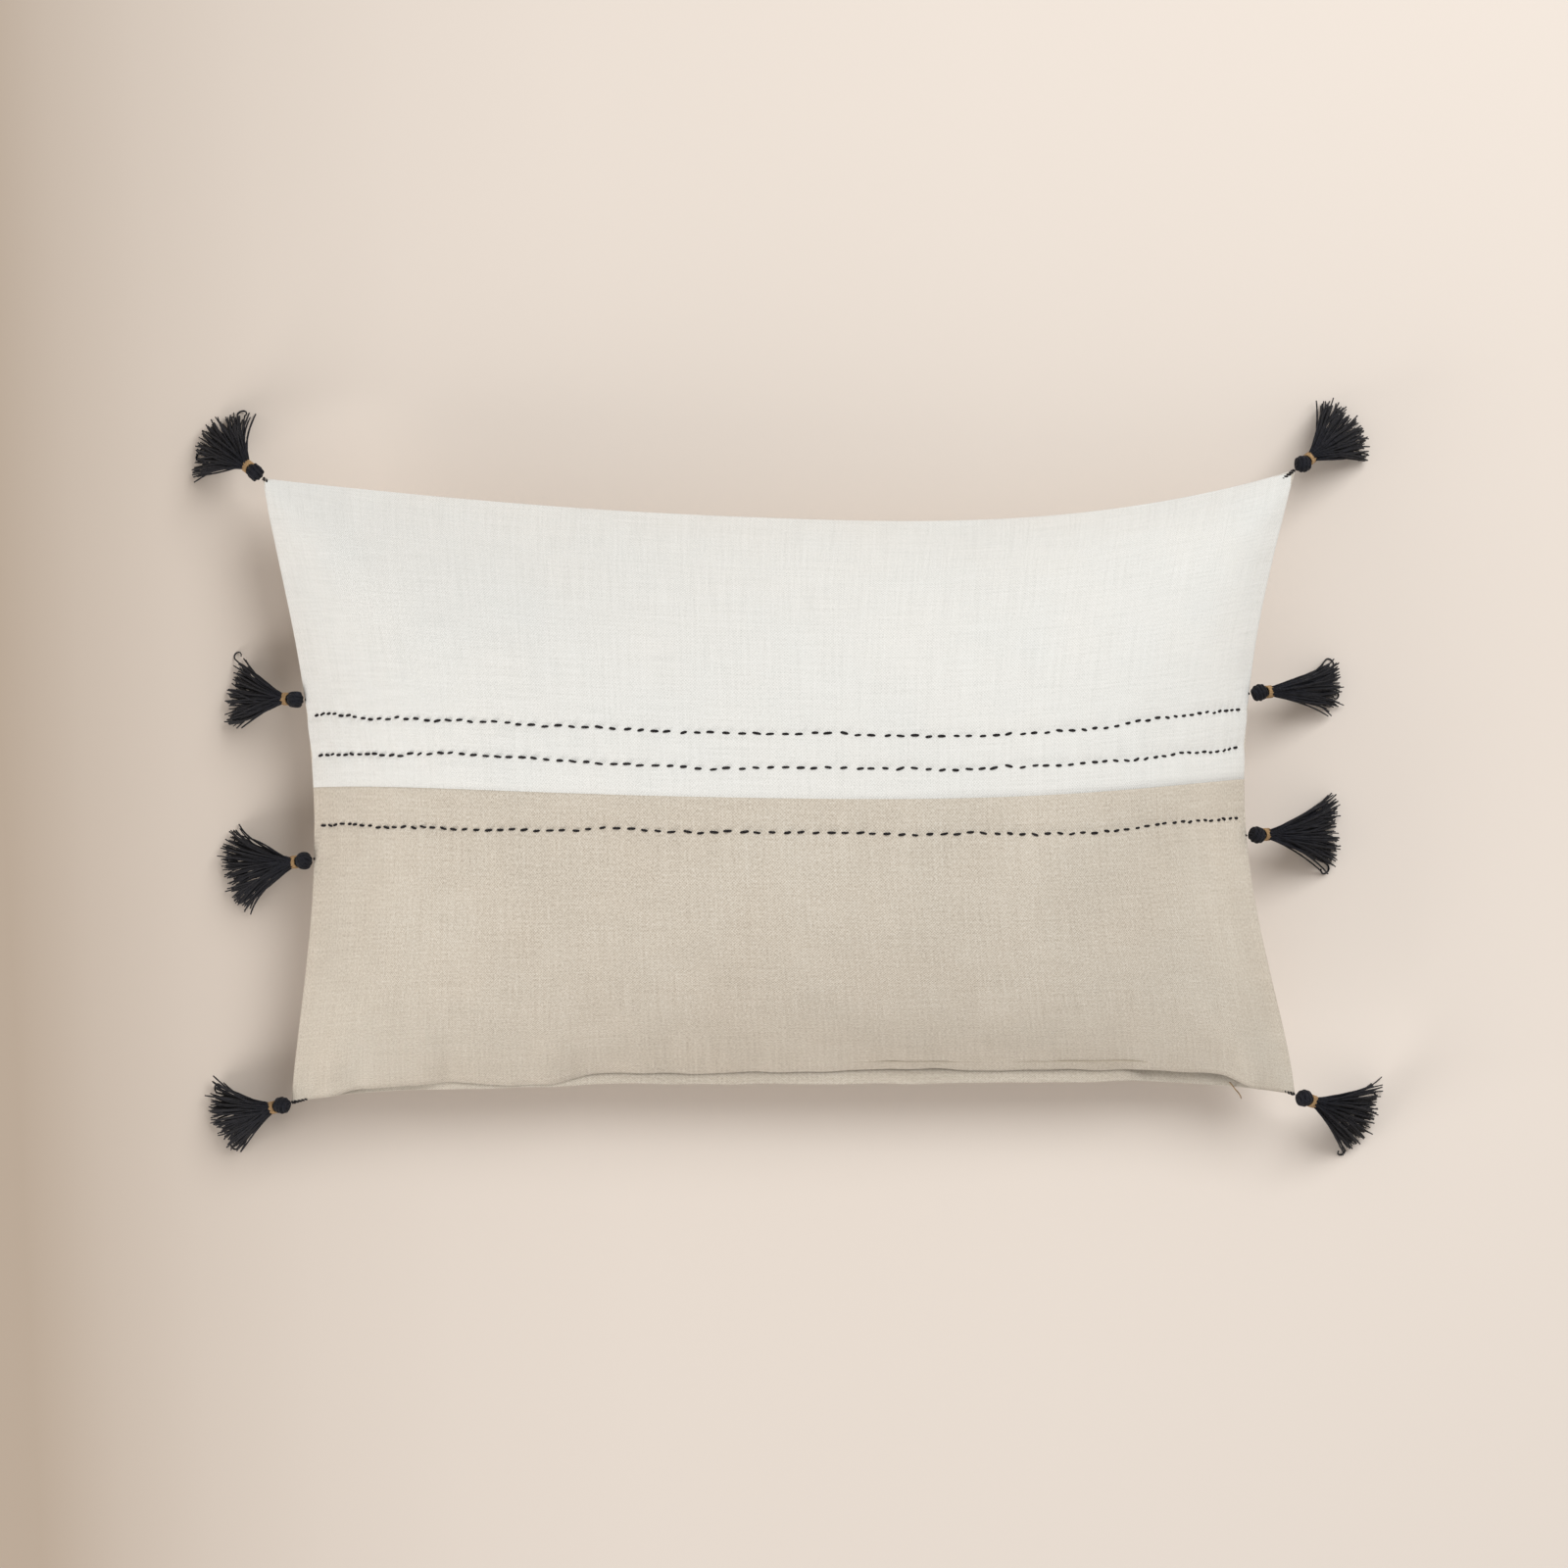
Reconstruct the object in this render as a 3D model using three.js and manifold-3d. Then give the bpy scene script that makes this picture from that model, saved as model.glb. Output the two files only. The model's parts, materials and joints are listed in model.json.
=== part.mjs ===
// Lumbar throw pillow: two-tone front, hand-stitched rows, concealed zip, eight tassels, inner cushion.
// Millimetres, +Z up. The pillow lies on its back. The origin is the middle of the flat patch it rests on,
// +X runs along its length and +Y towards the upper, white half.
import * as THREE from "three";
import { mergeVertices } from "three/addons/utils/BufferGeometryUtils.js";
import Module from "manifold-3d";

const wasm = await Module();
wasm.setup();

// Whole pillow
const LENGTH = 494; // corner to corner along X, mean of top and bottom
const WIDTH = 302; // corner to corner along Y
const SEAM_HEIGHT = 42; // the perimeter seam above the resting face
const CROWN_RISE = 70; // top of the front above the seam
const BACK_DROP = 50; // depth of the back below the seam, before it flattens on what it rests on
const TAPER = 0.56; // lower is a fuller section, higher a more pointed one

// How each corner sits off a plain rectangle, and how far each edge pulls in between its corners
const CORNER_SHIFT = { topLeft: [-5, -2], topRight: [0, 2], bottomRight: [0, 2], bottomLeft: [9, -2] };
const PULL_IN = { left: 17, right: 24, top: 21, bottom: 7 };

// Cloth, clearances and layers
const GAP = 0.3; // between touching pieces
const COVER_CLOTH = 0.8;
const CASING_CLOTH = 0.5;
const INSERT_CLEARANCE = 1.4; // crown of the cover to the insert, room for the seam inside
const INSERT_EDGE_ROOM = 12; // seams of the cover to the insert's edge
const JOIN_V = 0.01; // where the white and beige front panels meet, 0 middle, 1 top edge

// Lower edge: the front's folded lip stands back from the back panel's lip, with the zip between them
const LIP_SETBACK = 6;
const MOUTH = 6.4; // height between the two lips
const ZIP_BEHIND_LIP = 8; // back of the zip's teeth behind the front's lip
const ZIP_LEFT_INSET = 36; // first end of the chain from the lower left corner
const ZIP_RIGHT_INSET = 42; // closed end of the chain from the lower right corner
const INSERT_ZIP_ROOM = 17; // the insert stands back further along the zip

// Zip
const COIL_WIDTH = 2;
const COIL_DEPTH = 1.4;
const TAPE_WIDTH = 8.4;
const TAPE_EDGE_BEHIND_LIP = 6.7; // the tape's sewn edge leans outwards to the lip
const TAPE_CLOTH = 0.5;
const SLIDER_LENGTH = 9;
const SLIDER_WALL = 0.9;
const BRIDGE_WIDTH = 1.4;
const BRIDGE_LENGTH = 7;
const BRIDGE_BAR = 0.7;
const BRIDGE_TUNNEL = 1.6; // space under the bridge for the tab's end bar
const TAB_LENGTH = 18;
const TAB_WIDTH = 5;
const TAB_THICKNESS = 0.8;
const TAB_WINDOW = 5;
const STOP_LENGTH = 2.5;

// Sewing
const THREAD_RADIUS = 0.35;
const STITCH_WIDTH = 1.2;
const STITCH_HEIGHT = 0.5;
const STITCH_ROWS = { stitch_row_upper: 0.233, stitch_row_middle: 0.115, stitch_row_lower: -0.114 };
const STITCH_END = 0.965; // how far towards the side seams the rows run, 1 is the seam

// Tassels
const KNOT_RADIUS = 4.3;
const CORD_RADIUS = 1.1;
const CORD_INSIDE = 7; // length of cord inside the cover
const SEAM_THREAD_INSET = 4; // it passes over the tassel cords
const CORD_OUTSIDE = 1.2; // seam to knot
const BAND_RADIUS = 3.1;
const BAND_LENGTH = 4.6;
const SKIRT_LENGTH = 44;
const SKIRT_THICKNESS = 5.4;
const TIP_CLEARANCE = 5.5; // centre of the skirt's tip above the resting face
// side, place along the side seam (-1 lower corner, 1 upper corner), heading in degrees, width at the tips
const TASSELS = [
  { name: "left_tassel_1", side: -1, place: 1, heading: 143, tipWidth: 36 },
  { name: "left_tassel_2", side: -1, place: 0.29, heading: 176, tipWidth: 31 },
  { name: "left_tassel_3", side: -1, place: -0.22, heading: 188, tipWidth: 38 },
  { name: "left_tassel_4", side: -1, place: -1, heading: 196, tipWidth: 36 },
  { name: "right_tassel_1", side: 1, place: 1, heading: 37, tipWidth: 37 },
  { name: "right_tassel_2", side: 1, place: 0.285, heading: 5, tipWidth: 24 },
  { name: "right_tassel_3", side: 1, place: -0.17, heading: 2, tipWidth: 33 },
  { name: "right_tassel_4", side: 1, place: -1, heading: -22, tipWidth: 35 },
];

// How sharply the zip's effects on the lips fade: along the lower edge, and up from it
const ZIP_FADE = 12;
const SETBACK_FADE = 8;
const MOUTH_FADE = 16;

// Mesh density
const U_CELLS = 20;
const V_CELLS = 6; // on each side of the panel join
const THREAD_SIDES = 6;
const CORD_SIDES = 8;
const ROUND_SIDES = 12;
const SKIRT_SIDES = 10;
const SKIRT_STATIONS = 4;
const SKIRT_FLARE = 0.85; // below 1 the skirt opens quickly at the band

const rad = THREE.MathUtils.degToRad;
const lerp = THREE.MathUtils.lerp;

function cloth(color, roughness = 0.9) {
  return new THREE.MeshStandardMaterial({ color, roughness, metalness: 0 });
}
const WHITE_COTTON = cloth(0xebeae5);
const BEIGE_LINEN = cloth(0xcfc3b1);
const DARK_THREAD = cloth(0x2b2a30, 0.8);
const TASSEL_THREAD = cloth(0x1c1b20, 0.7);
const TAN_WRAP = cloth(0xba9568, 0.8);
const CASING = cloth(0xf1efe9);
const FIBRE = cloth(0xf7f6f2, 1);
const SEWING_THREAD = cloth(0xd8cfc0, 0.8);
const TAPE = cloth(0xd2c7b4);
const NYLON = cloth(0xd9cfbd, 0.45);
const ZINC = new THREE.MeshStandardMaterial({ color: 0xa9a294, roughness: 0.35, metalness: 1 });

const pillow = new THREE.Group();

function addNode(name, geometry, material) {
  const mesh = new THREE.Mesh(geometry, material);
  mesh.name = name;
  pillow.add(mesh);
}

// Corners of the plan outline
function corner(name, sideX, sideY) {
  const [dx, dy] = CORNER_SHIFT[name];
  return [(sideX * LENGTH) / 2 + dx, (sideY * WIDTH) / 2 + dy];
}
const TOP_LEFT = corner("topLeft", -1, 1);
const TOP_RIGHT = corner("topRight", 1, 1);
const BOTTOM_RIGHT = corner("bottomRight", 1, -1);
const BOTTOM_LEFT = corner("bottomLeft", -1, -1);

// Plan position of a point on the cover: u and v run from -1 to 1 between the seams.
function plan(u, v) {
  const s = (u + 1) / 2;
  const t = (v + 1) / 2;
  const mix = (axis) =>
    lerp(lerp(BOTTOM_LEFT[axis], BOTTOM_RIGHT[axis], s), lerp(TOP_LEFT[axis], TOP_RIGHT[axis], s), t);
  const x = mix(0) + (PULL_IN.left * (1 - s) - PULL_IN.right * s) * (1 - v * v);
  const y = mix(1) + PULL_IN.bottom * (1 - t) * (1 - u ** 6) - PULL_IN.top * t * (1 - u * u);
  return [x, y];
}

function fullness(u, v) {
  return Math.max(0, (1 - u * u) * (1 - v * v)) ** TAPER;
}

// 1 at the lower edge along the zip, fading out at the lower corners and away from the edge.
function nearZip(u, v, sharpness) {
  return (1 - u ** ZIP_FADE) * ((1 - v) / 2) ** sharpness;
}

// A layer is one surface of the pillow: face 1 looks up, -1 looks down. inset shrinks it in plan, depth
// brings it nearer the seam plane, setback moves its lower edge in, and lift parts it from the seam plane.
function layerPoint(layer, u, v) {
  const shrinkU = 1 - layer.inset / (LENGTH / 2);
  const shrinkV = 1 - layer.inset / (WIDTH / 2);
  const back = ((layer.setback ?? 0) * nearZip(u, v, SETBACK_FADE)) / (WIDTH / 2);
  const [x, y] = plan(u * shrinkU, v * shrinkV + back);
  const lift = GAP / 2 + (layer.lift ?? 0) * nearZip(u, v, MOUTH_FADE);
  if (layer.face > 0) {
    return new THREE.Vector3(x, y, SEAM_HEIGHT + lift + (CROWN_RISE - layer.depth) * fullness(u, v));
  }
  const z = SEAM_HEIGHT - lift - (BACK_DROP - layer.depth) * fullness(u, v);
  return new THREE.Vector3(x, y, Math.max(layer.depth, z));
}

// The outer faces of the cover
const FRONT = { face: 1, inset: 0, depth: 0, setback: LIP_SETBACK, lift: MOUTH / 2 };
const BACK = { face: -1, inset: 0, depth: 0, lift: MOUTH / 2 };

// Values from one number to another, closest together at the second, where the surfaces are steepest
function spread(from, to, cells) {
  const values = [];
  for (let i = 0; i <= cells; i++) values.push(from + (to - from) * Math.sin((i / cells) * (Math.PI / 2)));
  return values;
}
const U_LINES = [...spread(0, -1, U_CELLS / 2).reverse(), ...spread(0, 1, U_CELLS / 2).slice(1)];
const LOWER_V = spread(JOIN_V, -1, V_CELLS).reverse();
const UPPER_V = spread(JOIN_V, 1, V_CELLS);
const ALL_V = [...LOWER_V, ...UPPER_V.slice(1)];

function geometryOf(points, triangles) {
  const geometry = new THREE.BufferGeometry();
  geometry.setAttribute("position", new THREE.Float32BufferAttribute(points.flatMap((p) => p.toArray()), 3));
  geometry.setIndex(triangles.flat());
  return geometry;
}

// A closed shell between an outer and an inner surface over the same grid, joined round its rim.
function shell(outer, inner, uLines, vLines) {
  const columns = uLines.length;
  const rows = vLines.length;
  const points = [];
  for (const surface of [outer, inner]) {
    for (const v of vLines) for (const u of uLines) points.push(surface(u, v));
  }
  const count = columns * rows;
  const triangles = [];
  const quad = (a, b, c, d) => triangles.push([a, b, c], [a, c, d]);
  for (let j = 0; j < rows - 1; j++) {
    for (let i = 0; i < columns - 1; i++) {
      const a = j * columns + i;
      quad(a, a + 1, a + 1 + columns, a + columns);
      quad(count + a, count + a + columns, count + a + 1 + columns, count + a + 1);
    }
  }
  const rim = [];
  for (let i = 0; i < columns - 1; i++) rim.push(i);
  for (let j = 0; j < rows - 1; j++) rim.push(j * columns + columns - 1);
  for (let i = columns - 1; i > 0; i--) rim.push((rows - 1) * columns + i);
  for (let j = rows - 1; j > 0; j--) rim.push(j * columns);
  rim.forEach((a, k) => {
    const b = rim[(k + 1) % rim.length];
    quad(a, count + a, count + b, b);
  });
  return geometryOf(points, triangles);
}

function flipped(geometry) {
  const index = geometry.getIndex();
  for (let i = 0; i < index.count; i += 3) {
    const first = index.getX(i);
    index.setX(i, index.getX(i + 1));
    index.setX(i + 1, first);
  }
  return geometry;
}

// Cloth between two layers. A face of -1 looks down, so its triangles turn the other way.
function clothShell(outer, inner, vLines) {
  const made = shell(
    (u, v) => layerPoint(outer, u, v),
    (u, v) => layerPoint(inner, u, v),
    U_LINES,
    vLines,
  );
  return outer.face > 0 ? made : flipped(made);
}

// A constant section swept along points, its sides mitred in plan and its height along Z.
function sweep(points, section) {
  const rings = points.map((point, i) => {
    const before = points[Math.max(0, i - 1)];
    const after = points[Math.min(points.length - 1, i + 1)];
    const into = point.clone().sub(before).setZ(0);
    const out = after.clone().sub(point).setZ(0);
    if (into.lengthSq() === 0) into.copy(out);
    if (out.lengthSq() === 0) out.copy(into);
    const along = into.normalize().add(out.normalize()).normalize();
    const mitre = 1 / Math.max(0.5, along.dot(out));
    const side = new THREE.Vector3(-along.y, along.x, 0).multiplyScalar(mitre);
    return section.map(([a, b]) => point.clone().addScaledVector(side, a).add(new THREE.Vector3(0, 0, b)));
  });
  return loft(rings);
}

// Closed body through a list of rings with the same number of points, capped by a fan at each end.
function loft(rings) {
  const sides = rings[0].length;
  const triangles = [];
  for (let k = 0; k < rings.length - 1; k++) {
    for (let i = 0; i < sides; i++) {
      const a = k * sides + i;
      const b = k * sides + ((i + 1) % sides);
      triangles.push([a, b, b + sides], [a, b + sides, a + sides]);
    }
  }
  const last = (rings.length - 1) * sides;
  for (let i = 1; i < sides - 1; i++) {
    triangles.push([0, i + 1, i], [last, last + i, last + i + 1]);
  }
  const made = geometryOf(rings.flat(), triangles);
  return signedVolume(made) > 0 ? made : flipped(made);
}

function signedVolume(geometry) {
  const position = geometry.getAttribute("position");
  const index = geometry.getIndex();
  const [a, b, c] = [new THREE.Vector3(), new THREE.Vector3(), new THREE.Vector3()];
  let volume = 0;
  for (let i = 0; i < index.count; i += 3) {
    a.fromBufferAttribute(position, index.getX(i));
    b.fromBufferAttribute(position, index.getX(i + 1));
    c.fromBufferAttribute(position, index.getX(i + 2));
    volume += a.dot(b.cross(c)) / 6;
  }
  return volume;
}

function circleSection(radius, sides) {
  return Array.from({ length: sides }, (_, i) => {
    const angle = ((i + 0.5) / sides) * 2 * Math.PI;
    return [radius * Math.cos(angle), radius * Math.sin(angle)];
  });
}

// Solids for cutting and joining
function solidOf(geometry) {
  const bare = geometry.clone();
  bare.deleteAttribute("normal");
  bare.deleteAttribute("uv");
  const merged = mergeVertices(bare, 1e-4);
  const vertProperties = Float32Array.from(merged.getAttribute("position").array);
  const triVerts = Uint32Array.from(merged.getIndex().array);
  return new wasm.Manifold(new wasm.Mesh({ numProp: 3, vertProperties, triVerts }));
}

function geometryFrom(solid) {
  const { vertProperties, triVerts } = solid.getMesh();
  const geometry = new THREE.BufferGeometry();
  geometry.setAttribute("position", new THREE.BufferAttribute(vertProperties, 3));
  geometry.setIndex(new THREE.BufferAttribute(triVerts, 1));
  return geometry;
}

function boxAt(min, max) {
  const size = max.map((value, i) => value - min[i]);
  return new THREE.BoxGeometry(...size).translate(...min.map((value, i) => (value + max[i]) / 2));
}

// Where a tassel leaves the seam, its knot's centre and the way it points
function tasselFrame(tassel) {
  const [x, y] = plan(tassel.side, tassel.place);
  const heading = new THREE.Vector3(Math.cos(rad(tassel.heading)), Math.sin(rad(tassel.heading)), 0);
  const seam = new THREE.Vector3(x, y, SEAM_HEIGHT);
  const knot = seam.clone().addScaledVector(heading, CORD_OUTSIDE + KNOT_RADIUS);
  const reach = KNOT_RADIUS + BAND_LENGTH + SKIRT_LENGTH;
  const droop = Math.asin((SEAM_HEIGHT - TIP_CLEARANCE) / reach);
  return { seam, heading, knot, droop };
}

// A cylinder of given radius from one distance to another along a heading in the seam plane
function cordGeometry(frame, radius, from, to, sides) {
  const turn = new THREE.Quaternion().setFromUnitVectors(new THREE.Vector3(0, 1, 0), frame.heading);
  const middle = frame.seam.clone().addScaledVector(frame.heading, (from + to) / 2);
  return new THREE.CylinderGeometry(radius, radius, to - from, sides)
    .rotateY(Math.PI / sides)
    .applyQuaternion(turn)
    .translate(middle.x, middle.y, middle.z);
}

const CORD_HOLE_RADIUS = (CORD_RADIUS + GAP) / Math.cos(Math.PI / CORD_SIDES);

// A cover panel, less the holes where the tassel cords pass through its seam
function addPanel(name, geometry, material, tassels) {
  let solid = solidOf(geometry);
  for (const tassel of tassels) {
    const frame = tasselFrame(tassel);
    const hole = cordGeometry(frame, CORD_HOLE_RADIUS, -CORD_INSIDE - 2 * GAP, CORD_OUTSIDE, CORD_SIDES);
    solid = solid.subtract(solidOf(hole));
  }
  addNode(name, geometryFrom(solid), material);
}

function addCover() {
  const lining = { inset: COVER_CLOTH, depth: COVER_CLOTH };
  const frontIn = { ...FRONT, ...lining };
  const backIn = { ...BACK, ...lining };
  const joinGap = GAP / WIDTH; // half the gap between the two front panels, as a share of half the width
  const upperV = [JOIN_V + joinGap, ...UPPER_V.slice(1)];
  const lowerV = [...LOWER_V.slice(0, -1), JOIN_V - joinGap];
  const upper = TASSELS.filter((tassel) => tassel.place > JOIN_V);
  const lower = TASSELS.filter((tassel) => tassel.place < JOIN_V);
  addPanel("front_upper_panel", clothShell(FRONT, frontIn, upperV), WHITE_COTTON, upper);
  addPanel("front_lower_panel", clothShell(FRONT, frontIn, lowerV), BEIGE_LINEN, lower);
  addPanel("back_panel", clothShell(BACK, backIn, ALL_V), BEIGE_LINEN, TASSELS);
}

function addInsert() {
  const layer = (face, extra) => ({
    face,
    inset: INSERT_EDGE_ROOM + extra,
    depth: COVER_CLOTH + INSERT_CLEARANCE + extra,
    setback: INSERT_ZIP_ROOM,
  });
  const fillExtra = CASING_CLOTH + GAP;
  for (const [name, face] of [["insert_casing_front", 1], ["insert_casing_back", -1]]) {
    addNode(name, clothShell(layer(face, 0), layer(face, CASING_CLOTH), ALL_V), CASING);
  }
  const top = (u, v) => layerPoint(layer(1, fillExtra), u, v);
  const bottom = (u, v) => layerPoint(layer(-1, fillExtra), u, v);
  addNode("insert_fill", shell(top, bottom, U_LINES, ALL_V), FIBRE);
}

// Zip: a straight chain along X between the lips, its teeth facing out
const LIP_Y = Math.min(BOTTOM_LEFT[1], BOTTOM_RIGHT[1]) + PULL_IN.bottom + LIP_SETBACK;
const CHAIN_Y = LIP_Y + ZIP_BEHIND_LIP;
const CHAIN_START = BOTTOM_LEFT[0] + ZIP_LEFT_INSET;
const CHAIN_END = BOTTOM_RIGHT[0] - ZIP_RIGHT_INSET;
const COIL_FACE = CHAIN_Y - COIL_DEPTH;
const TAPE_OVERHANG = 3.5; // tape beyond each end of the chain

const CHAIN_HALF = GAP / 2 + COIL_WIDTH;
const SLIDER_INNER = CHAIN_HALF + GAP; // half height inside the slider
const SLIDER_OUTER = SLIDER_INNER + SLIDER_WALL;

// A tape backs its coil, and leans towards the lip once it is past the slider.
function addTape(name, face) {
  const root = GAP / 2;
  const bend = SLIDER_OUTER + GAP;
  const near = CHAIN_Y + GAP;
  const edge = LIP_Y + TAPE_EDGE_BEHIND_LIP;
  const section = [
    [near, bend],
    [near, root],
    [near + TAPE_CLOTH, root],
    [near + TAPE_CLOTH, bend],
    [edge + TAPE_CLOTH, TAPE_WIDTH],
    [edge, TAPE_WIDTH],
  ];
  const ends = [CHAIN_START - TAPE_OVERHANG, CHAIN_END + TAPE_OVERHANG];
  const rings = ends.map((x) => section.map(([y, z]) => new THREE.Vector3(x, y, SEAM_HEIGHT + face * z)));
  addNode(name, loft(rings), TAPE);
}

function addCoil(name, face) {
  const near = SEAM_HEIGHT + (face * GAP) / 2;
  const far = near + face * COIL_WIDTH;
  const min = [CHAIN_START, COIL_FACE, Math.min(near, far)];
  const max = [CHAIN_END, CHAIN_Y, Math.max(near, far)];
  addNode(name, boxAt(min, max), NYLON);
}

const SLIDER_MIDDLE = CHAIN_END - SLIDER_LENGTH / 2;
const SLIDER_FACE = COIL_FACE - GAP - SLIDER_WALL;
const TAB_AXIS_Y = SLIDER_FACE - BRIDGE_TUNNEL / 2;

function addSlider() {
  const ends = [SLIDER_MIDDLE - SLIDER_LENGTH / 2, SLIDER_MIDDLE + SLIDER_LENGTH / 2];
  const block = boxAt(
    [ends[0], SLIDER_FACE, SEAM_HEIGHT - SLIDER_OUTER],
    [ends[1], CHAIN_Y, SEAM_HEIGHT + SLIDER_OUTER],
  );
  const channel = boxAt(
    [ends[0] - 1, COIL_FACE - GAP, SEAM_HEIGHT - SLIDER_INNER],
    [ends[1] + 1, CHAIN_Y + 1, SEAM_HEIGHT + SLIDER_INNER],
  );
  const half = BRIDGE_LENGTH / 2;
  const foot = SLIDER_FACE + SLIDER_WALL / 2; // the bridge is rooted in the slider's wall
  const top = SLIDER_FACE - BRIDGE_TUNNEL;
  const bridge = boxAt(
    [SLIDER_MIDDLE - half, top - BRIDGE_BAR, SEAM_HEIGHT - BRIDGE_WIDTH / 2],
    [SLIDER_MIDDLE + half, foot, SEAM_HEIGHT + BRIDGE_WIDTH / 2],
  );
  const tunnel = boxAt(
    [SLIDER_MIDDLE - half + BRIDGE_BAR, top, SEAM_HEIGHT - BRIDGE_WIDTH],
    [SLIDER_MIDDLE + half - BRIDGE_BAR, SLIDER_FACE, SEAM_HEIGHT + BRIDGE_WIDTH],
  );
  const body = solidOf(block).subtract(solidOf(channel));
  addNode("zip_slider", geometryFrom(body.add(solidOf(bridge).subtract(solidOf(tunnel)))), ZINC);
}

// The tab lies along the chain, its end bar under the slider's bridge.
function addPullTab() {
  const bar = TAB_THICKNESS / 2;
  const half = TAB_WIDTH / 2;
  const round = half * 0.8;
  const outline = new THREE.Shape();
  outline.moveTo(bar, -half);
  outline.lineTo(bar, half);
  outline.lineTo(round - TAB_LENGTH, half);
  outline.quadraticCurveTo(-TAB_LENGTH, half, -TAB_LENGTH, 0);
  outline.quadraticCurveTo(-TAB_LENGTH, -half, round - TAB_LENGTH, -half);
  const window = new THREE.Path();
  const arm = BRIDGE_WIDTH / 2 + GAP;
  window.moveTo(-bar, -arm);
  window.lineTo(-bar - TAB_WINDOW, -arm);
  window.lineTo(-bar - TAB_WINDOW, arm);
  window.lineTo(-bar, arm);
  outline.holes.push(window);
  const options = { depth: TAB_THICKNESS, bevelEnabled: false, curveSegments: 4 };
  const tab = new THREE.ExtrudeGeometry(outline, options);
  tab.translate(0, 0, -TAB_THICKNESS / 2).rotateX(-Math.PI / 2);
  tab.translate(SLIDER_MIDDLE, TAB_AXIS_Y, SEAM_HEIGHT);
  addNode("zip_pull_tab", geometryFrom(solidOf(tab)), ZINC);
}

function addStop(name, x, from, to) {
  const min = [x, COIL_FACE, SEAM_HEIGHT + from];
  const max = [x + STOP_LENGTH, CHAIN_Y, SEAM_HEIGHT + to];
  addNode(name, boxAt(min, max), ZINC);
}

function addZip() {
  addTape("zip_tape_front", 1);
  addTape("zip_tape_back", -1);
  addCoil("zip_coil_front", 1);
  addCoil("zip_coil_back", -1);
  addSlider();
  addPullTab();
  addStop("zip_top_stop_front", CHAIN_END + GAP, GAP / 2, CHAIN_HALF);
  addStop("zip_top_stop_back", CHAIN_END + GAP, -CHAIN_HALF, -GAP / 2);
  addStop("zip_bottom_stop", CHAIN_START - GAP - STOP_LENGTH, -CHAIN_HALF, CHAIN_HALF);
}

// Sewing thread round the three sewn sides, just inside the cover
function seamThreadGeometry() {
  const section = circleSection(THREAD_RADIUS, THREAD_SIDES);
  const shrinkU = 1 - SEAM_THREAD_INSET / (LENGTH / 2);
  const shrinkV = 1 - SEAM_THREAD_INSET / (WIDTH / 2);
  const seam = (u, v) => {
    const [x, y] = plan(u * shrinkU, v * shrinkV);
    return new THREE.Vector3(x, y, SEAM_HEIGHT + CORD_RADIUS + GAP + THREAD_RADIUS);
  };
  const sides = ALL_V.filter((v) => v > -0.9);
  const stitched = [
    ...sides.slice(0, -2).map((v) => seam(-1, v)),
    ...U_LINES.slice(2, -2).map((u) => seam(u, 1)),
    ...sides.slice(0, -2).reverse().map((v) => seam(1, v)),
  ];
  return sweep(stitched, section);
}

// A point above the front's outer face, along its normal
function frontPoint(u, v, extra) {
  const step = 1e-3;
  const point = layerPoint(FRONT, u, v);
  const alongU = layerPoint(FRONT, u + step, v).sub(layerPoint(FRONT, u - step, v));
  const alongV = layerPoint(FRONT, u, v + step).sub(layerPoint(FRONT, u, v - step));
  return point.addScaledVector(alongU.cross(alongV).normalize(), extra);
}

// A row of hand stitching lies on the front as one narrow raised strip.
function addStitchRow(name, place) {
  const half = STITCH_WIDTH / WIDTH;
  const rings = U_LINES.map((line) => THREE.MathUtils.clamp(line, -STITCH_END, STITCH_END)).map((u) => [
    frontPoint(u, place - half, GAP),
    frontPoint(u, place + half, GAP),
    frontPoint(u, place + half, GAP + STITCH_HEIGHT),
    frontPoint(u, place - half, GAP + STITCH_HEIGHT),
  ]);
  addNode(name, loft(rings), DARK_THREAD);
}

// Sewing thread under the front's panel join
function addJoinThread() {
  const depth = COVER_CLOTH + 2 * GAP + THREAD_RADIUS;
  const inside = U_LINES.slice(2, -2).map((u) => frontPoint(u, JOIN_V, -depth));
  addNode("panel_join_thread", sweep(inside, circleSection(THREAD_RADIUS, THREAD_SIDES)), SEWING_THREAD);
}

// Tassel: a cord out of the seam, a knot, a wound band cupped on the knot, and a flattened skirt of thread
function tasselTurn(frame) {
  const yaw = Math.atan2(frame.heading.y, frame.heading.x);
  return (geometry) =>
    geometry.rotateY(frame.droop).rotateZ(yaw).translate(frame.knot.x, frame.knot.y, frame.knot.z);
}

function bandGeometry() {
  const cup = KNOT_RADIUS + GAP;
  const throat = Math.sqrt(cup ** 2 - BAND_RADIUS ** 2);
  const end = KNOT_RADIUS + BAND_LENGTH;
  const profile = [];
  for (let i = 0; i <= 3; i++) {
    const radius = (BAND_RADIUS * i) / 3;
    profile.push(new THREE.Vector2(radius, Math.sqrt(cup ** 2 - radius ** 2)));
  }
  profile.push(new THREE.Vector2(BAND_RADIUS + GAP, (throat + end) / 2));
  profile.push(new THREE.Vector2(BAND_RADIUS, end), new THREE.Vector2(0, end));
  return new THREE.LatheGeometry(profile, ROUND_SIDES).rotateZ(-Math.PI / 2);
}

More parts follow.
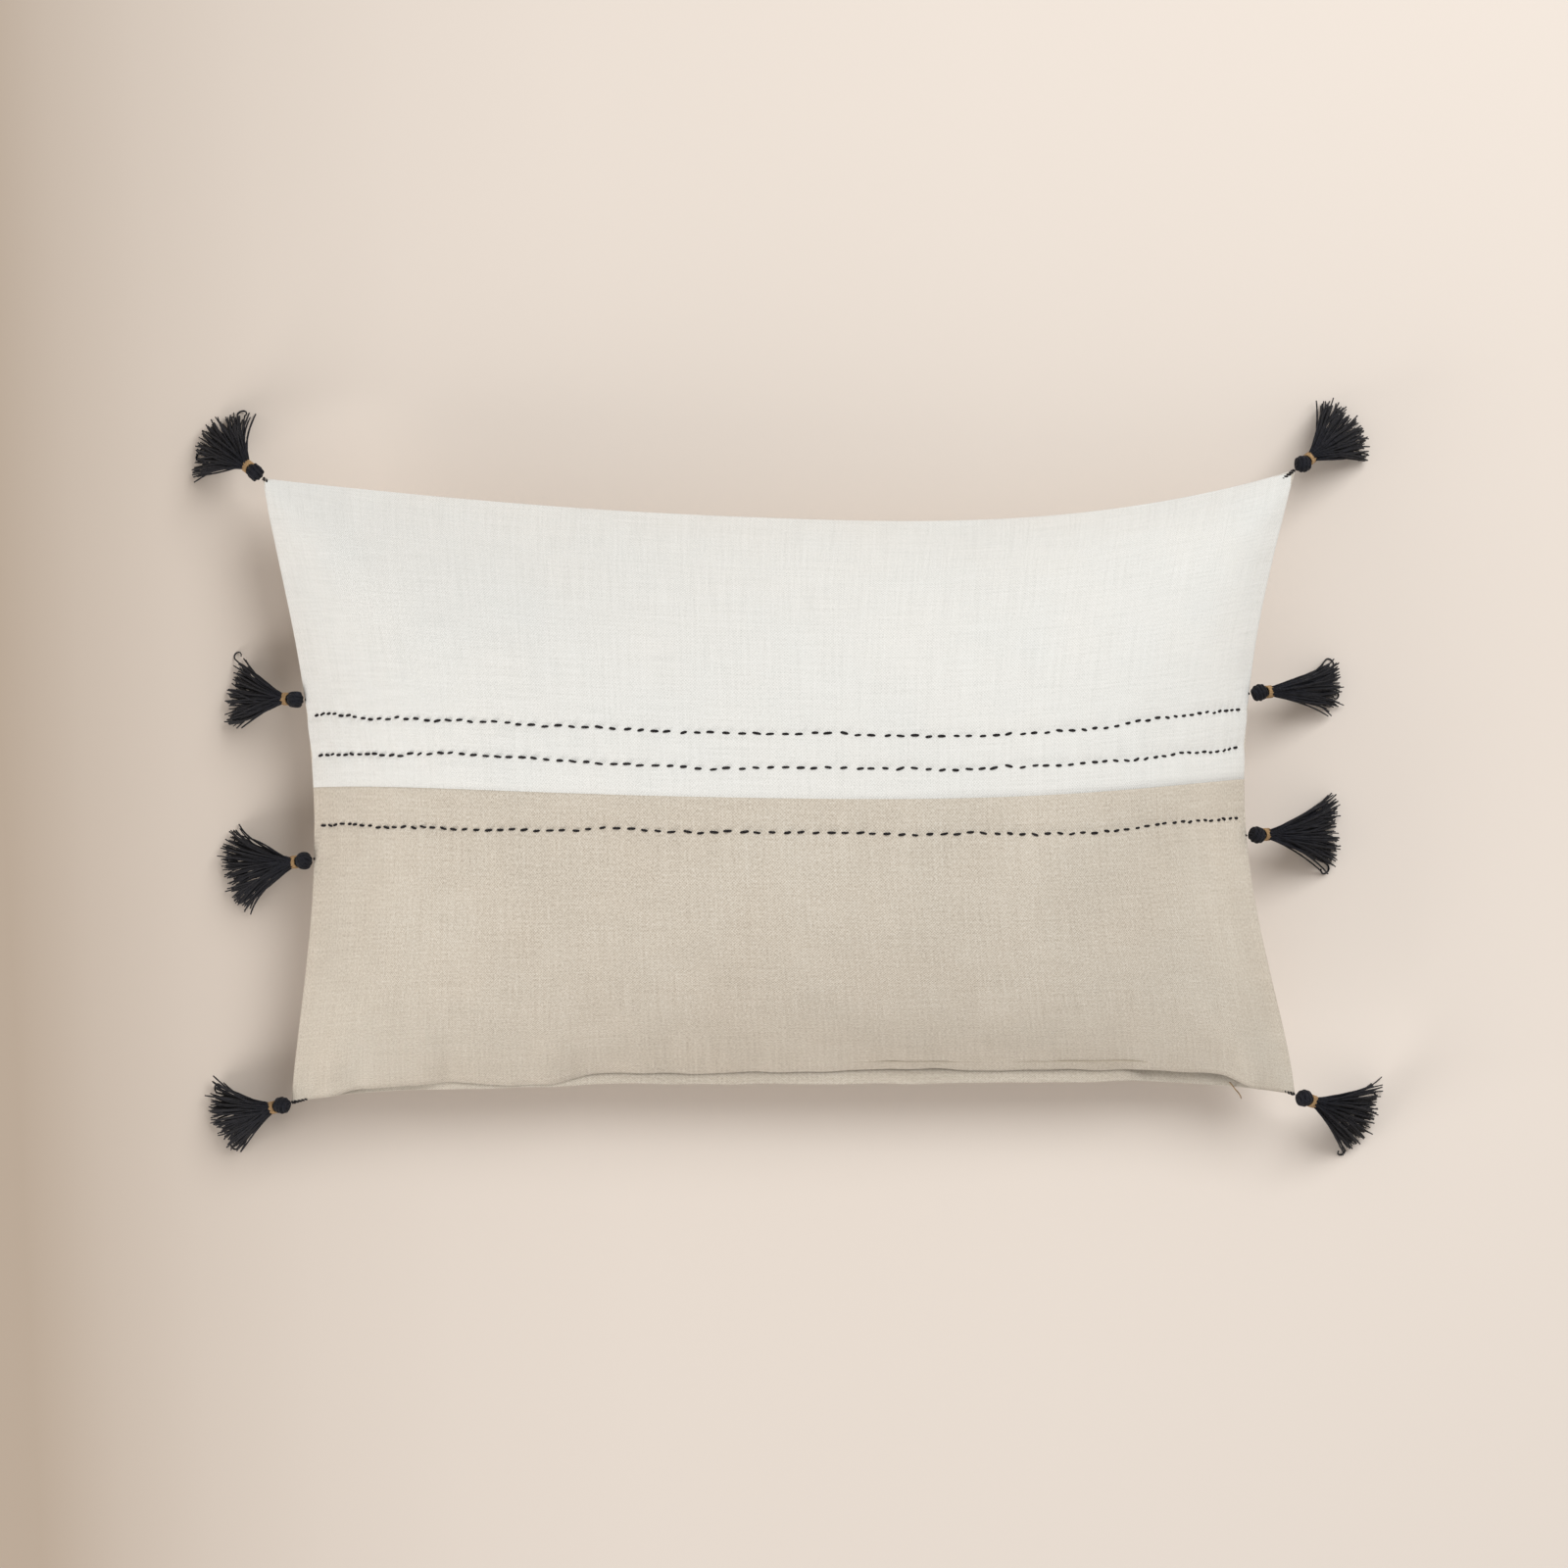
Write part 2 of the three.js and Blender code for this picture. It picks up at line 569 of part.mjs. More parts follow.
function skirtGeometry(tipWidth) {
  const start = KNOT_RADIUS + BAND_LENGTH + GAP;
  const neck = BAND_RADIUS - GAP;
  const rings = [];
  for (let k = 0; k <= SKIRT_STATIONS; k++) {
    const t = k / SKIRT_STATIONS;
    const halfWidth = lerp(neck, tipWidth / 2, t ** SKIRT_FLARE);
    const halfThick = lerp(neck, SKIRT_THICKNESS / 2, t);
    rings.push(
      circleSection(1, SKIRT_SIDES).map(
        ([a, b]) => new THREE.Vector3(start + t * (SKIRT_LENGTH - GAP), a * halfWidth, b * halfThick),
      ),
    );
  }
  return loft(rings);
}

function addTassel(tassel) {
  const frame = tasselFrame(tassel);
  const place = tasselTurn(frame);
  const { x, y, z } = frame.knot;
  const cord = cordGeometry(frame, CORD_RADIUS, -CORD_INSIDE, CORD_OUTSIDE - GAP, CORD_SIDES);
  addNode(`${tassel.name}_cord`, geometryFrom(solidOf(cord)), TASSEL_THREAD);
  const knot = new THREE.SphereGeometry(KNOT_RADIUS, ROUND_SIDES, CORD_SIDES).translate(x, y, z);
  addNode(`${tassel.name}_knot`, geometryFrom(solidOf(knot)), TASSEL_THREAD);
  addNode(`${tassel.name}_band`, geometryFrom(solidOf(place(bandGeometry()))), TAN_WRAP);
  addNode(`${tassel.name}_skirt`, place(skirtGeometry(tassel.tipWidth)), TASSEL_THREAD);
}

addCover();
addInsert();
addZip();
addNode("perimeter_seam_thread", seamThreadGeometry(), SEWING_THREAD);
addJoinThread();
for (const [name, place] of Object.entries(STITCH_ROWS)) addStitchRow(name, place);
for (const tassel of TASSELS) addTassel(tassel);

export default pillow;
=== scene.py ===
"""Lumbar throw pillow: two-tone front with hand-stitched rows, a concealed zip and eight tassels."""

import json
import math

import bpy
import numpy as np
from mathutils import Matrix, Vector


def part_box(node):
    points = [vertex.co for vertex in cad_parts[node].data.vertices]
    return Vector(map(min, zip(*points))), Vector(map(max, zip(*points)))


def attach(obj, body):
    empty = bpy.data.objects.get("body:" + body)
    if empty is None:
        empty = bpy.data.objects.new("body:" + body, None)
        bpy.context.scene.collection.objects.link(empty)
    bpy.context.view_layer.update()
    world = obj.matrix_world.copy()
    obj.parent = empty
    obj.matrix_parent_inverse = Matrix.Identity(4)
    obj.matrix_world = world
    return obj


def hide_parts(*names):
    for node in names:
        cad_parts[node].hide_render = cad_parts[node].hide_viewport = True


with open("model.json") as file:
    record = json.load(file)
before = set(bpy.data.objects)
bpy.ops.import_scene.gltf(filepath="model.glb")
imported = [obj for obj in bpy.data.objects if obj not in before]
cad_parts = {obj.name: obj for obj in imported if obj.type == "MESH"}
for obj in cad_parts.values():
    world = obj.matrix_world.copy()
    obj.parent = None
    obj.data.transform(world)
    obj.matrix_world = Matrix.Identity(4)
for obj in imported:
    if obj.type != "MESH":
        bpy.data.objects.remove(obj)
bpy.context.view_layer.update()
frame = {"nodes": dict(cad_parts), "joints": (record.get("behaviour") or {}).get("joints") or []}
MM = 0.001

# Sizes taken from the CAD nodes
COIL_FRONT = [np.array(p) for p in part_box("zip_coil_front")]
COIL_BACK = [np.array(p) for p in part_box("zip_coil_back")]
SEAM_Z = (COIL_FRONT[0][2] + COIL_BACK[1][2]) / 2
CROWN_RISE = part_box("front_upper_panel")[1][2] - SEAM_Z
ZIP_Y = COIL_FRONT[1][1]

# The cover as it was cut, and as its outline lies when it is filled
CUT = np.array([508, 305]) * MM
CORNERS = {
    "top_left": np.array([-252, 149]) * MM,
    "top_right": np.array([247, 153]) * MM,
    "bottom_right": np.array([247, -149]) * MM,
    "bottom_left": np.array([-238, -153]) * MM,
}
PULL_IN = {"left": 17 * MM, "right": 24 * MM, "top": 21 * MM, "bottom": 7 * MM}
TOP_SKEW = 11 * MM  # how much lower the top edge dips right of the middle than left of it
CORNER_FLARE = 0.3 * MM  # how far the corners reach out towards their knots
CORNER_SHARPNESS = (24, 16)  # how close to a corner the flare starts, along and across
BACK_DROP = 50 * MM
TAPER = 0.56  # lower is a fuller section
EASE_SHARE = 0.72  # higher puts more of the cloth near the seams
CLOTH = 0.8 * MM
REST_GAP = 0.1 * MM
JOIN_V = 0.01
JOIN_GAP = 0.05 * MM
JOIN_SINK = 0.12 * MM

# The lips over the zip. Places run along the seam, -1 to 1.
LIP_SETBACK = 6 * MM
LIP_GAP = 0.3 * MM  # from the seam's plane to the edge of either lip
LIP_COVERED = (-0.5, -0.38)  # left of this the front lip reaches the back's edge
LEFT_OPENING = (-0.70, -0.60)  # and further left, where the pull tab swings out, it is set back a little
LEFT_COVER = 0.55  # how much of the setback is gone there
ZIP_END_FADE = (0.85, 0.93)
MOUTH = 6.4 * MM
MOUTH_SHUT = 0.22  # how open the mouth is between its ends
MOUTH_ENDS = 0.95  # and how much more it opens where the pull tab swings out
TAB_PLACES = (0.81, -0.83)  # where the pull tab swings out, zip shut and zip open
BACK_LIP = (6.5 * MM, 12 * MM)  # the back lip runs level this far in, and has joined the back by here

# Stitching
STITCH_ROWS = {"stitch_row_upper": 0.233, "stitch_row_middle": 0.115, "stitch_row_lower": -0.114}
STITCH_PITCH = 6.1 * MM
STITCH_LENGTH = 3.1 * MM
STITCH_RADIUS = 0.62 * MM
PUCKER_DEPTH = 0.75 * MM
PUCKER_WIDTH = 2.6 * MM
SEAM_PUCKER = 0.38 * MM
SEWING_RADIUS = 0.3 * MM
LOOSE_END_RADIUS = 0.28 * MM

# Zip and insert
TAPE_BEND = 3.65 * MM  # from the seam's plane to where the tape leans out
TAPE_EDGE = 8.2 * MM
TAPE_CLOTH = 0.4 * MM
COIL_PITCH = 1.35 * MM
COIL_STRAND = 0.25 * MM
INSERT_CLOTH = 0.4 * MM
INSERT_INSET = 12 * MM
INSERT_ZIP_ROOM = 17 * MM
INSERT_SHARE = 0.93  # of the cover's height
FILL_INSET = 13 * MM
FILL_SUNK = 1.2 * MM

# Cloth simulation
SIM_CELLS = (88, 54)
SIM_FRAMES = 22
SIM_PRESSURE = 300.0
SIM_CAP = 9 * MM

# Tassels: the fan's angle in degrees and the length of its threads in plan, in millimetres
FANS = {
    "left_tassel_1": (85, 32),
    "left_tassel_2": (63, 33),
    "left_tassel_3": (66, 40),
    "left_tassel_4": (70, 35),
    "right_tassel_1": (74, 34),
    "right_tassel_2": (36, 39),
    "right_tassel_3": (50, 40.5),
    "right_tassel_4": (62, 36.5),
}
FRINGE_THREADS = 135
FRINGE_LOCKS = 7
STRAY_EVERY, STRAY_FIRST = 22, 9  # which threads stray from their lock
THREAD_RADIUS = 0.5 * MM
ROOT_SPREAD = 2.15 * MM  # of the threads inside the band
HELD_SHARE = 0.7  # of the band's length, where its rim lets the threads fan out
KNOT_STRAND = 0.92 * MM
KNOT_SHELLS = (0.79, 0.86, 0.94)  # radius of each layer of turns, as a share of the knot's
KNOT_CORE = 0.78
CORD_TWIST_RADIUS = 0.52 * MM
CORD_PLY_RADIUS = 0.56 * MM
CORD_KNOT_GAP = 0.4 * MM
BAND_RADIUS = 3.1 * MM
BAND_LENGTH = 4.6 * MM

# Floor, light and camera
# The floor is painted darker towards the left, from its pale colour to a shade colour: painted shade,
# not the floor's own tone.
FLOOR_LIGHT = (0.805, 0.731, 0.668)
FLOOR_PAINTED_SHADE = (0.47, 0.385, 0.31)
FLOOR_PAINTED_SHADE_FROM, FLOOR_PAINTED_SHADE_TO = -0.385, 0.115
FLOOR_PAINTED_SHADE_FALL = 4.2
FLOOR_STOPS = (0, 0.08, 0.17, 0.28, 0.42, 0.6, 1)
FILL_COLOUR = (1.0, 0.95, 0.90)
FILL_STRENGTH = 0.48
KEY_PLACE = (0.95, 1.1, 2.0)
KEY_SIZE = 1.5
KEY_POWER = 37
SIDE_PLACE = (-1.5, -1.1, 0.5)
SIDE_SIZE = 1.3
SIDE_POWER = 21
CAMERA_HEIGHT = 2.4
VIEW_WIDTH = 0.76
VIEW_MIDDLE_Y = 1.2 * MM
SENSOR = 36

# Bands of a wave texture in each unit at scale 1: it draws sin(20 x), and 20 / (2 pi) is 3.1831
WAVE_BANDS = 3.1831


def smooth(x, low, high):
    t = np.clip((np.asarray(x, float) - low) / (high - low), 0, 1)
    return t * t * (3 - 2 * t)


def plan(u, v):
    """Plan position on the filled cover. u and v run from -1 to 1 between the seams."""
    s, t = (u + 1) / 2, (v + 1) / 2
    low = CORNERS["bottom_left"] * (1 - s)[..., None] + CORNERS["bottom_right"] * s[..., None]
    high = CORNERS["top_left"] * (1 - s)[..., None] + CORNERS["top_right"] * s[..., None]
    p = low * (1 - t)[..., None] + high * t[..., None]
    across, along = np.clip(1 - v * v, 0, 1), np.clip(1 - u * u, 0, 1)
    p[..., 0] += PULL_IN["left"] * (1 - s) * across**1.5
    p[..., 0] -= PULL_IN["right"] * s * across ** np.where(v > 0, 1.2, 1.6)
    p[..., 1] += PULL_IN["bottom"] * (1 - t) * (1 - u**6) - PULL_IN["top"] * t * along
    p[..., 1] -= TOP_SKEW * t * u * along * (1 + 0.36 * np.tanh(3 * u))
    corner = (np.abs(u) ** CORNER_SHARPNESS[0] * np.abs(v) ** CORNER_SHARPNESS[1])[..., None]
    p += corner * CORNER_FLARE * np.stack([np.sign(u), np.sign(v)], -1)
    return p


def fullness(u, v):
    return np.clip((1 - u * u) * (1 - v * v), 0, None) ** TAPER


def bulge(u, v, face):
    """The plain filled form of the front (face 1) or the back (face -1)."""
    u, v = np.broadcast_arrays(np.asarray(u, float), np.asarray(v, float))
    rise = CROWN_RISE if face > 0 else -BACK_DROP
    z = SEAM_Z + rise * fullness(u, v)
    return np.concatenate([plan(u, v), z[..., None]], axis=-1)


def ease(c):
    """Where a point of the flat cloth, -1 to 1, lies in plan once it bulges."""
    return np.sin(c * math.pi / 2 * EASE_SHARE) / math.sin(math.pi / 2 * EASE_SHARE)


# ---------------------------------------------------------------- meshes


def mesh_object(name, points, faces, uvs=None):
    mesh = bpy.data.meshes.new(name)
    mesh.from_pydata(np.asarray(points, float).reshape(-1, 3).tolist(), [], [list(f) for f in faces])
    mesh.validate()
    if uvs is not None:
        layer = mesh.uv_layers.new(name="cloth")
        loops = np.empty(len(mesh.loops), np.int32)
        mesh.loops.foreach_get("vertex_index", loops)
        layer.data.foreach_set("uv", np.asarray(uvs, float).reshape(-1, 2)[loops].ravel())
    mesh.polygons.foreach_set("use_smooth", np.ones(len(mesh.polygons), bool))
    mesh.update()
    made = bpy.data.objects.new(name, mesh)
    bpy.context.scene.collection.objects.link(made)
    return made


def grid_faces(rows, columns, start=0, closed=False, flip=False):
    faces = []
    for j in range(rows - 1):
        for i in range(columns if closed else columns - 1):
            a = start + j * columns + i
            b = start + j * columns + (i + 1) % columns
            quad = (a, b, b + columns, a + columns)
            faces.append(quad[::-1] if flip else quad)
    return faces


def tube(points, radius, sides=6, twist=0.0):
    """Vertices and faces of a closed tube along points. radius is a number or one for each point."""
    points = np.asarray(points, float)
    count = len(points)
    radii = np.broadcast_to(radius, count)
    along = np.gradient(points, axis=0)
    along /= np.linalg.norm(along, axis=1)[:, None] + 1e-12
    up = np.array([0, 0, 1.0]) if abs(along[0][2]) < 0.9 else np.array([1.0, 0, 0])
    side = np.cross(up, along[0])
    rings = []
    for k in range(count):
        side = side - along[k] * side.dot(along[k])
        side /= np.linalg.norm(side) + 1e-12
        other = np.cross(along[k], side)
        angle = np.arange(sides) / sides * 2 * math.pi + twist * k
        ring = np.cos(angle)[:, None] * side + np.sin(angle)[:, None] * other
        rings.append(points[k] + ring * radii[k])
    vertices = np.concatenate(rings)
    faces = grid_faces(count, sides, closed=True)
    last = (count - 1) * sides
    faces.append(tuple(range(sides))[::-1])
    faces.append(tuple(range(last, last + sides)))
    return vertices, faces


def join_parts(parts):
    vertices, faces, start = [], [], 0
    for v, f in parts:
        vertices.append(np.asarray(v))
        faces.extend(tuple(i + start for i in face) for face in f)
        start += len(v)
    return np.concatenate(vertices), faces


# ---------------------------------------------------------------- the cushion's cloth


def simulate():
    """Grids of the front and the back, from flat cloth blown up between a seam that stays in place."""
    nu, nv = SIM_CELLS
    cu, cv = np.meshgrid(np.linspace(-1, 1, nu + 1), np.linspace(-1, 1, nv + 1))
    u, v = ease(cu), ease(cv)
    front, back = bulge(u, v, 1), bulge(u, v, -1)
    rim = np.zeros(front.shape[:2], bool)
    rim[0], rim[-1], rim[:, 0], rim[:, -1] = True, True, True, True
    index_front = np.arange(rim.size).reshape(rim.shape)
    index_back = index_front.copy()
    index_back[~rim] = rim.size + np.arange((~rim).sum())
    points = np.concatenate([front.reshape(-1, 3), back[~rim]])
    faces = []
    for j in range(nv):
        for i in range(nu):
            a = (j, i), (j, i + 1), (j + 1, i + 1), (j + 1, i)
            faces.append([int(index_front[k]) for k in a])
            faces.append([int(index_back[k]) for k in a[::-1]])
    start = points.copy()
    start[:, 2] = SEAM_Z + (start[:, 2] - SEAM_Z) * 0.8
    made = mesh_object("cloth_start", start, faces)
    flat = np.stack([cu * CUT[0] / 2, cv * CUT[1] / 2, np.full(cu.shape, SEAM_Z)], -1)
    rest = np.concatenate([flat.reshape(-1, 3), flat[~rim]])
    made.shape_key_add(name="Basis")
    key = made.shape_key_add(name="cut")
    key.data.foreach_set("co", rest.ravel())
    group = made.vertex_groups.new(name="seam")
    group.add([int(i) for i in index_front[rim]], 1.0, "REPLACE")
    cloth = made.modifiers.new("cloth", "CLOTH")
    settings = cloth.settings
    settings.quality = 6
    settings.mass = 0.25
    settings.tension_stiffness = settings.compression_stiffness = 30
    settings.shear_stiffness = 12
    settings.bending_stiffness = 0.6
    settings.air_damping = 2
    settings.use_pressure = True
    settings.uniform_pressure_force = SIM_PRESSURE
    settings.vertex_group_mass = "seam"
    settings.pin_stiffness = 1
    settings.rest_shape_key = key
    settings.effector_weights.gravity = 0
    cloth.collision_settings.use_collision = False
    cloth.point_cache.frame_end = SIM_FRAMES
    for number in range(1, SIM_FRAMES + 1):
        bpy.context.scene.frame_set(number)
    evaluated = made.evaluated_get(bpy.context.evaluated_depsgraph_get())
    result = np.empty(len(points) * 3)
    evaluated.data.vertices.foreach_get("co", result)
    result = result.reshape(-1, 3)
    bpy.data.objects.remove(made)
    bpy.context.scene.frame_set(1)
    return result[index_front], result[index_back]


def cubic_weights(at, count):
    """Rows of Catmull-Rom weights that read count even samples, -1 to 1, at the given places."""
    position = (np.asarray(at) + 1) / 2 * (count - 1)
    base = np.clip(np.floor(position).astype(int), 0, count - 2)
    t = position - base
    weights = np.zeros((len(position), count))
    terms = (
        (-1, -0.5 * t + t**2 - 0.5 * t**3),
        (0, 1 - 2.5 * t**2 + 1.5 * t**3),
        (1, 0.5 * t + 2 * t**2 - 1.5 * t**3),
        (2, -0.5 * t**2 + 0.5 * t**3),
    )
    for offset, value in terms:
        np.add.at(weights, (np.arange(len(position)), np.clip(base + offset, 0, count - 1)), value)
    return weights


def resample(grid, cu, cv):
    across = cubic_weights(cu, grid.shape[1])
    down = cubic_weights(cv, grid.shape[0])
    return np.einsum("ji,ikc,lk->jlc", down, grid, across)


def normals_of(grid, face):
    du = np.gradient(grid, axis=1)
    dv = np.gradient(grid, axis=0)
    n = np.cross(du, dv) * face
    return n / (np.linalg.norm(n, axis=-1)[..., None] + 1e-12)


def cloth_place(v):
    """The flat-cloth place, -1 to 1, of a plan place: the inverse of ease."""
    k = math.pi / 2 * EASE_SHARE
    return math.asin(v * math.sin(k)) / k


JOIN_CV = cloth_place(JOIN_V)
ROW_CV = {name: cloth_place(v) for name, v in STITCH_ROWS.items()}

def column_lines():
    return np.linspace(-1, 1, 301)


def row_lines(low, high):
    """Places along the cloth's width, close together near the stitch rows."""
    coarse, fine = 2 * 3.4 * MM / CUT[1], 2 * 1.1 * MM / CUT[1]
    reach = 2 * 7 * MM / CUT[1]
    at, lines = low, [low]
    while at < high - fine:
        near = min(abs(at - row) for row in ROW_CV.values()) < reach
        at += fine if near else coarse
        lines.append(min(at, high))
    if high - lines[-1] > 1e-9:
        lines.append(high)
    return np.array(lines)


def wander(x, seed, terms=7, longest=1.0, shortest=0.1):
    """A smooth random curve of about unit height, the same on each run."""
    random = np.random.default_rng(seed)
    total = np.zeros_like(np.asarray(x, float))
    for period in np.geomspace(longest, shortest, terms):
        phase = random.uniform(0, 6.28)
        total += math.sqrt(period / longest) * np.sin(2 * math.pi * x / period + phase)
    return total / math.sqrt(terms / 2)


def row_drift(cu, seed):
    """How far a hand-sewn row strays from straight, as a share of half the width."""
    return wander(cu, seed, 5, 1.6, 0.2) * 1.0 * MM / (CUT[1] / 2)


def pucker(cu, cv):
    """The cloth is drawn in along each stitch row, most at the stitches' ends."""
    depth = np.zeros(np.broadcast(cu, cv).shape)
    along = (cu + 1) * CUT[0] / 2
    for seed, row in enumerate(ROW_CV.values()):
        off = (cv - row - row_drift(cu, seed)) * CUT[1] / 2
        ripple = 0.62 + 0.38 * np.cos(2 * math.pi * along / STITCH_PITCH + math.pi)
        uneven = 1 + 0.35 * wander(cu, 20 + seed, 6, 0.5, 0.06)
        depth += np.exp(-((off / PUCKER_WIDTH) ** 2)) * ripple * uneven
        crease = np.exp(-((off / (3 * PUCKER_WIDTH)) ** 2)) * 0.35
        turn = 2 * math.pi * along / (2.7 * STITCH_PITCH) + 1.3 * seed
        depth += crease * np.sin(turn + off / (5 * MM))
    return depth * PUCKER_DEPTH


def seam_puckers(cu, cv, seed):
    """Short gathers that run in from the seams."""
    total = 0
    for place, other, depth in ((cu, cv, CUT[1]), (cv, cu, CUT[0])):
        for side in (-1, 1):
            away = (1 - side * other) * depth / 2
            ridge = wander(place, seed + side, 6, 0.35, 0.05)
            total = total + ridge * np.exp(-away / (13 * MM)) * (1 - np.exp(-away / (2 * MM)))
    return total * SEAM_PUCKER


def near_zip(u, v, sharpness):
    """1 at the zip's lips, falling to 0 past the zip's ends and away from the lower edge."""
    return (1 - smooth(np.abs(u), *ZIP_END_FADE)) * ((1 - v) / 2) ** sharpness


def mouth(u):
    """Half the gap between the zip's lips: nearly shut, and open where the pull tab swings out."""
    ends = sum(1 - smooth(np.abs(u - place), 0.09, 0.15) for place in TAB_PLACES)
    return MOUTH / 2 * (MOUTH_SHUT + MOUTH_ENDS * ends) * (1 - smooth(np.abs(u), 0.92, 0.98))


def settle(front, back):
    """Brings the blown-up cloth to the filled height, and keeps it near the plain filled form."""
    rows, columns = front.shape[:2]
    cu, cv = np.meshgrid(np.linspace(-1, 1, columns), np.linspace(-1, 1, rows))
    u, v = ease(cu), ease(cv)
    made = []
    for grid, face in ((front, 1), (back, -1)):
        form = bulge(u, v, face)
        grid = grid.copy()
        rise = np.abs(grid[..., 2] - SEAM_Z).max()
        wanted = np.abs(form[..., 2] - SEAM_Z).max()
        grid[..., 2] = SEAM_Z + (grid[..., 2] - SEAM_Z) * wanted / rise
        grid = form + SIM_CAP * np.tanh((grid - form) / SIM_CAP)
        made.append(grid)
    return made


def shape_front(cloth, cu, cv):
    """The front's outer grid: gathers, drawn-in stitch rows and the lip over the zip."""
    grid = resample(cloth, cu, cv)
    a, b = np.meshgrid(cu, cv)
    u, v = ease(a), ease(b)
    n = normals_of(grid, 1)
    grid += n * (seam_puckers(a, b, 3) - pucker(a, b))[..., None]
    left = LEFT_COVER + (1 - LEFT_COVER) * smooth(u, *LEFT_OPENING)
    covered = (1 - smooth(u, *LIP_COVERED)) * left
    grid[..., 1] += LIP_SETBACK * near_zip(u, v, 8) * (1 - covered)
    grid[..., 2] += LIP_GAP + mouth(u) * ((1 - v) / 2) ** 16
    grid[..., 1] += wander(u, 31, 7, 0.9, 0.09) * 0.7 * MM * near_zip(u, v, 10)
    return grid


def shape_back(cloth, cu, cv):
    """The back's outer grid: gathers, a level lip, and an underside that rests on the floor."""
    grid = resample(cloth, cu, cv)
    a, b = np.meshgrid(cu, cv)
    u, v = ease(a), ease(b)
    n = normals_of(grid, -1)
    grid += n * seam_puckers(a, b, 12)[..., None]
    grid[..., 2] -= LIP_GAP
    grid[..., 1] += wander(u, 33, 7, 1.1, 0.12) * 0.6 * MM * near_zip(u, v, 10)
    from_edge = (1 + v) * CUT[1] / 2
    level = (1 - smooth(from_edge, *BACK_LIP)) * (1 - smooth(np.abs(u), *ZIP_END_FADE))
    grid[..., 2] += (SEAM_Z - 1.0 * MM - mouth(u) - grid[..., 2]) * level
    low = REST_GAP + 0.25 * MM * (1 + wander(a + 2 * b, 40, 5, 0.7, 0.1)) * 0.5
    soft = 2.5 * MM
    z = grid[..., 2]
    grid[..., 2] = low + soft * np.logaddexp(0, (z - low) / soft) * (z > -1)
    return grid


def cloth_shell(name, grid, cu, cv, face, thickness=CLOTH):
    """A closed piece of cloth: the outer grid, its lining, and a rolled edge between them."""
    rows, columns = grid.shape[:2]
    lining = grid - normals_of(grid, face) * thickness
    a, b = np.meshgrid(cu * CUT[0] / 2, cv * CUT[1] / 2)
    uv = np.stack([a, b], -1).reshape(-1, 2)
    rim = [(0, i) for i in range(columns - 1)] + [(j, columns - 1) for j in range(rows - 1)]
    rim += [(rows - 1, i) for i in range(columns - 1, 0, -1)] + [(j, 0) for j in range(rows - 1, 0, -1)]
    index = np.array([j * columns + i for j, i in rim])
    flat, inner = grid.reshape(-1, 3), lining.reshape(-1, 3)
    middle = (flat[index] + inner[index]) / 2
    inward = np.zeros_like(middle)
    centre = flat.mean(0)
    inward[:, :2] = centre[:2] - middle[:, :2]
    inward /= np.linalg.norm(inward, axis=1)[:, None]
    roll = middle - inward * thickness * 0.45
    points = np.concatenate([flat, inner, roll])
    count, ring = rows * columns, 2 * rows * columns
    faces = grid_faces(rows, columns, 0, flip=face < 0)
    faces += grid_faces(rows, columns, count, flip=face > 0)
    for k in range(len(index)):
        m = (k + 1) % len(index)
        first = (int(index[k]), int(index[m]), ring + m, ring + k)
        second = (ring + k, ring + m, count + int(index[m]), count + int(index[k]))
        for quad in (first, second):
            faces.append(quad[::-1] if face > 0 else quad)
    uvs = np.concatenate([uv, uv, uv[index]])
    return mesh_object(name, points, faces, uvs)


# ---------------------------------------------------------------- materials


def material(name, roughness=0.9, sheen=0.0, specular=0.3):
    made = bpy.data.materials.new(name)
    made.use_nodes = True
    nodes, links = made.node_tree.nodes, made.node_tree.links
    shader = nodes["Principled BSDF"]
    shader.inputs["Roughness"].default_value = roughness
    shader.inputs["Specular IOR Level"].default_value = specular
    if sheen:
        shader.inputs["Sheen Weight"].default_value = sheen
        shader.inputs["Sheen Roughness"].default_value = 0.45
    return made, nodes, links, shader


def mapped(nodes, links, source, scale):
    """A coordinate output, scaled."""
    node = nodes.new("ShaderNodeMapping")
    node.inputs["Scale"].default_value = scale
    links.new(source, node.inputs["Vector"])
    return node.outputs["Vector"]


def noise(nodes, links, vector, scale, detail=3.0, rough=0.55):
    node = nodes.new("ShaderNodeTexNoise")
    node.inputs["Scale"].default_value = scale
    node.inputs["Detail"].default_value = detail
    node.inputs["Roughness"].default_value = rough
    links.new(vector, node.inputs["Vector"])
    return node.outputs["Fac"]


def wave(nodes, links, vector, scale, direction, distortion=1.0):
    node = nodes.new("ShaderNodeTexWave")
    node.wave_type, node.bands_direction = "BANDS", direction
    node.inputs["Scale"].default_value = scale
    node.inputs["Distortion"].default_value = distortion
    node.inputs["Detail"].default_value = 2.0
    node.inputs["Detail Scale"].default_value = 0.6
    links.new(vector, node.inputs["Vector"])
    return node.outputs["Fac"]


def calc(nodes, links, operation, first, second):
    node = nodes.new("ShaderNodeMath")
    node.operation = operation
    for socket, value in zip(node.inputs, (first, second)):
        if isinstance(value, (int, float)):
            socket.default_value = value
        else:
            links.new(value, socket)
    return node.outputs["Value"]


def ramp(nodes, links, factor, stops):
    node = nodes.new("ShaderNodeValToRGB")
    while len(node.color_ramp.elements) < len(stops):
        node.color_ramp.elements.new(0.5)
    for element, (at, colour) in zip(node.color_ramp.elements, stops):
        element.position, element.color = at, (*colour, 1)
    links.new(factor, node.inputs["Fac"])
    return node.outputs["Color"]


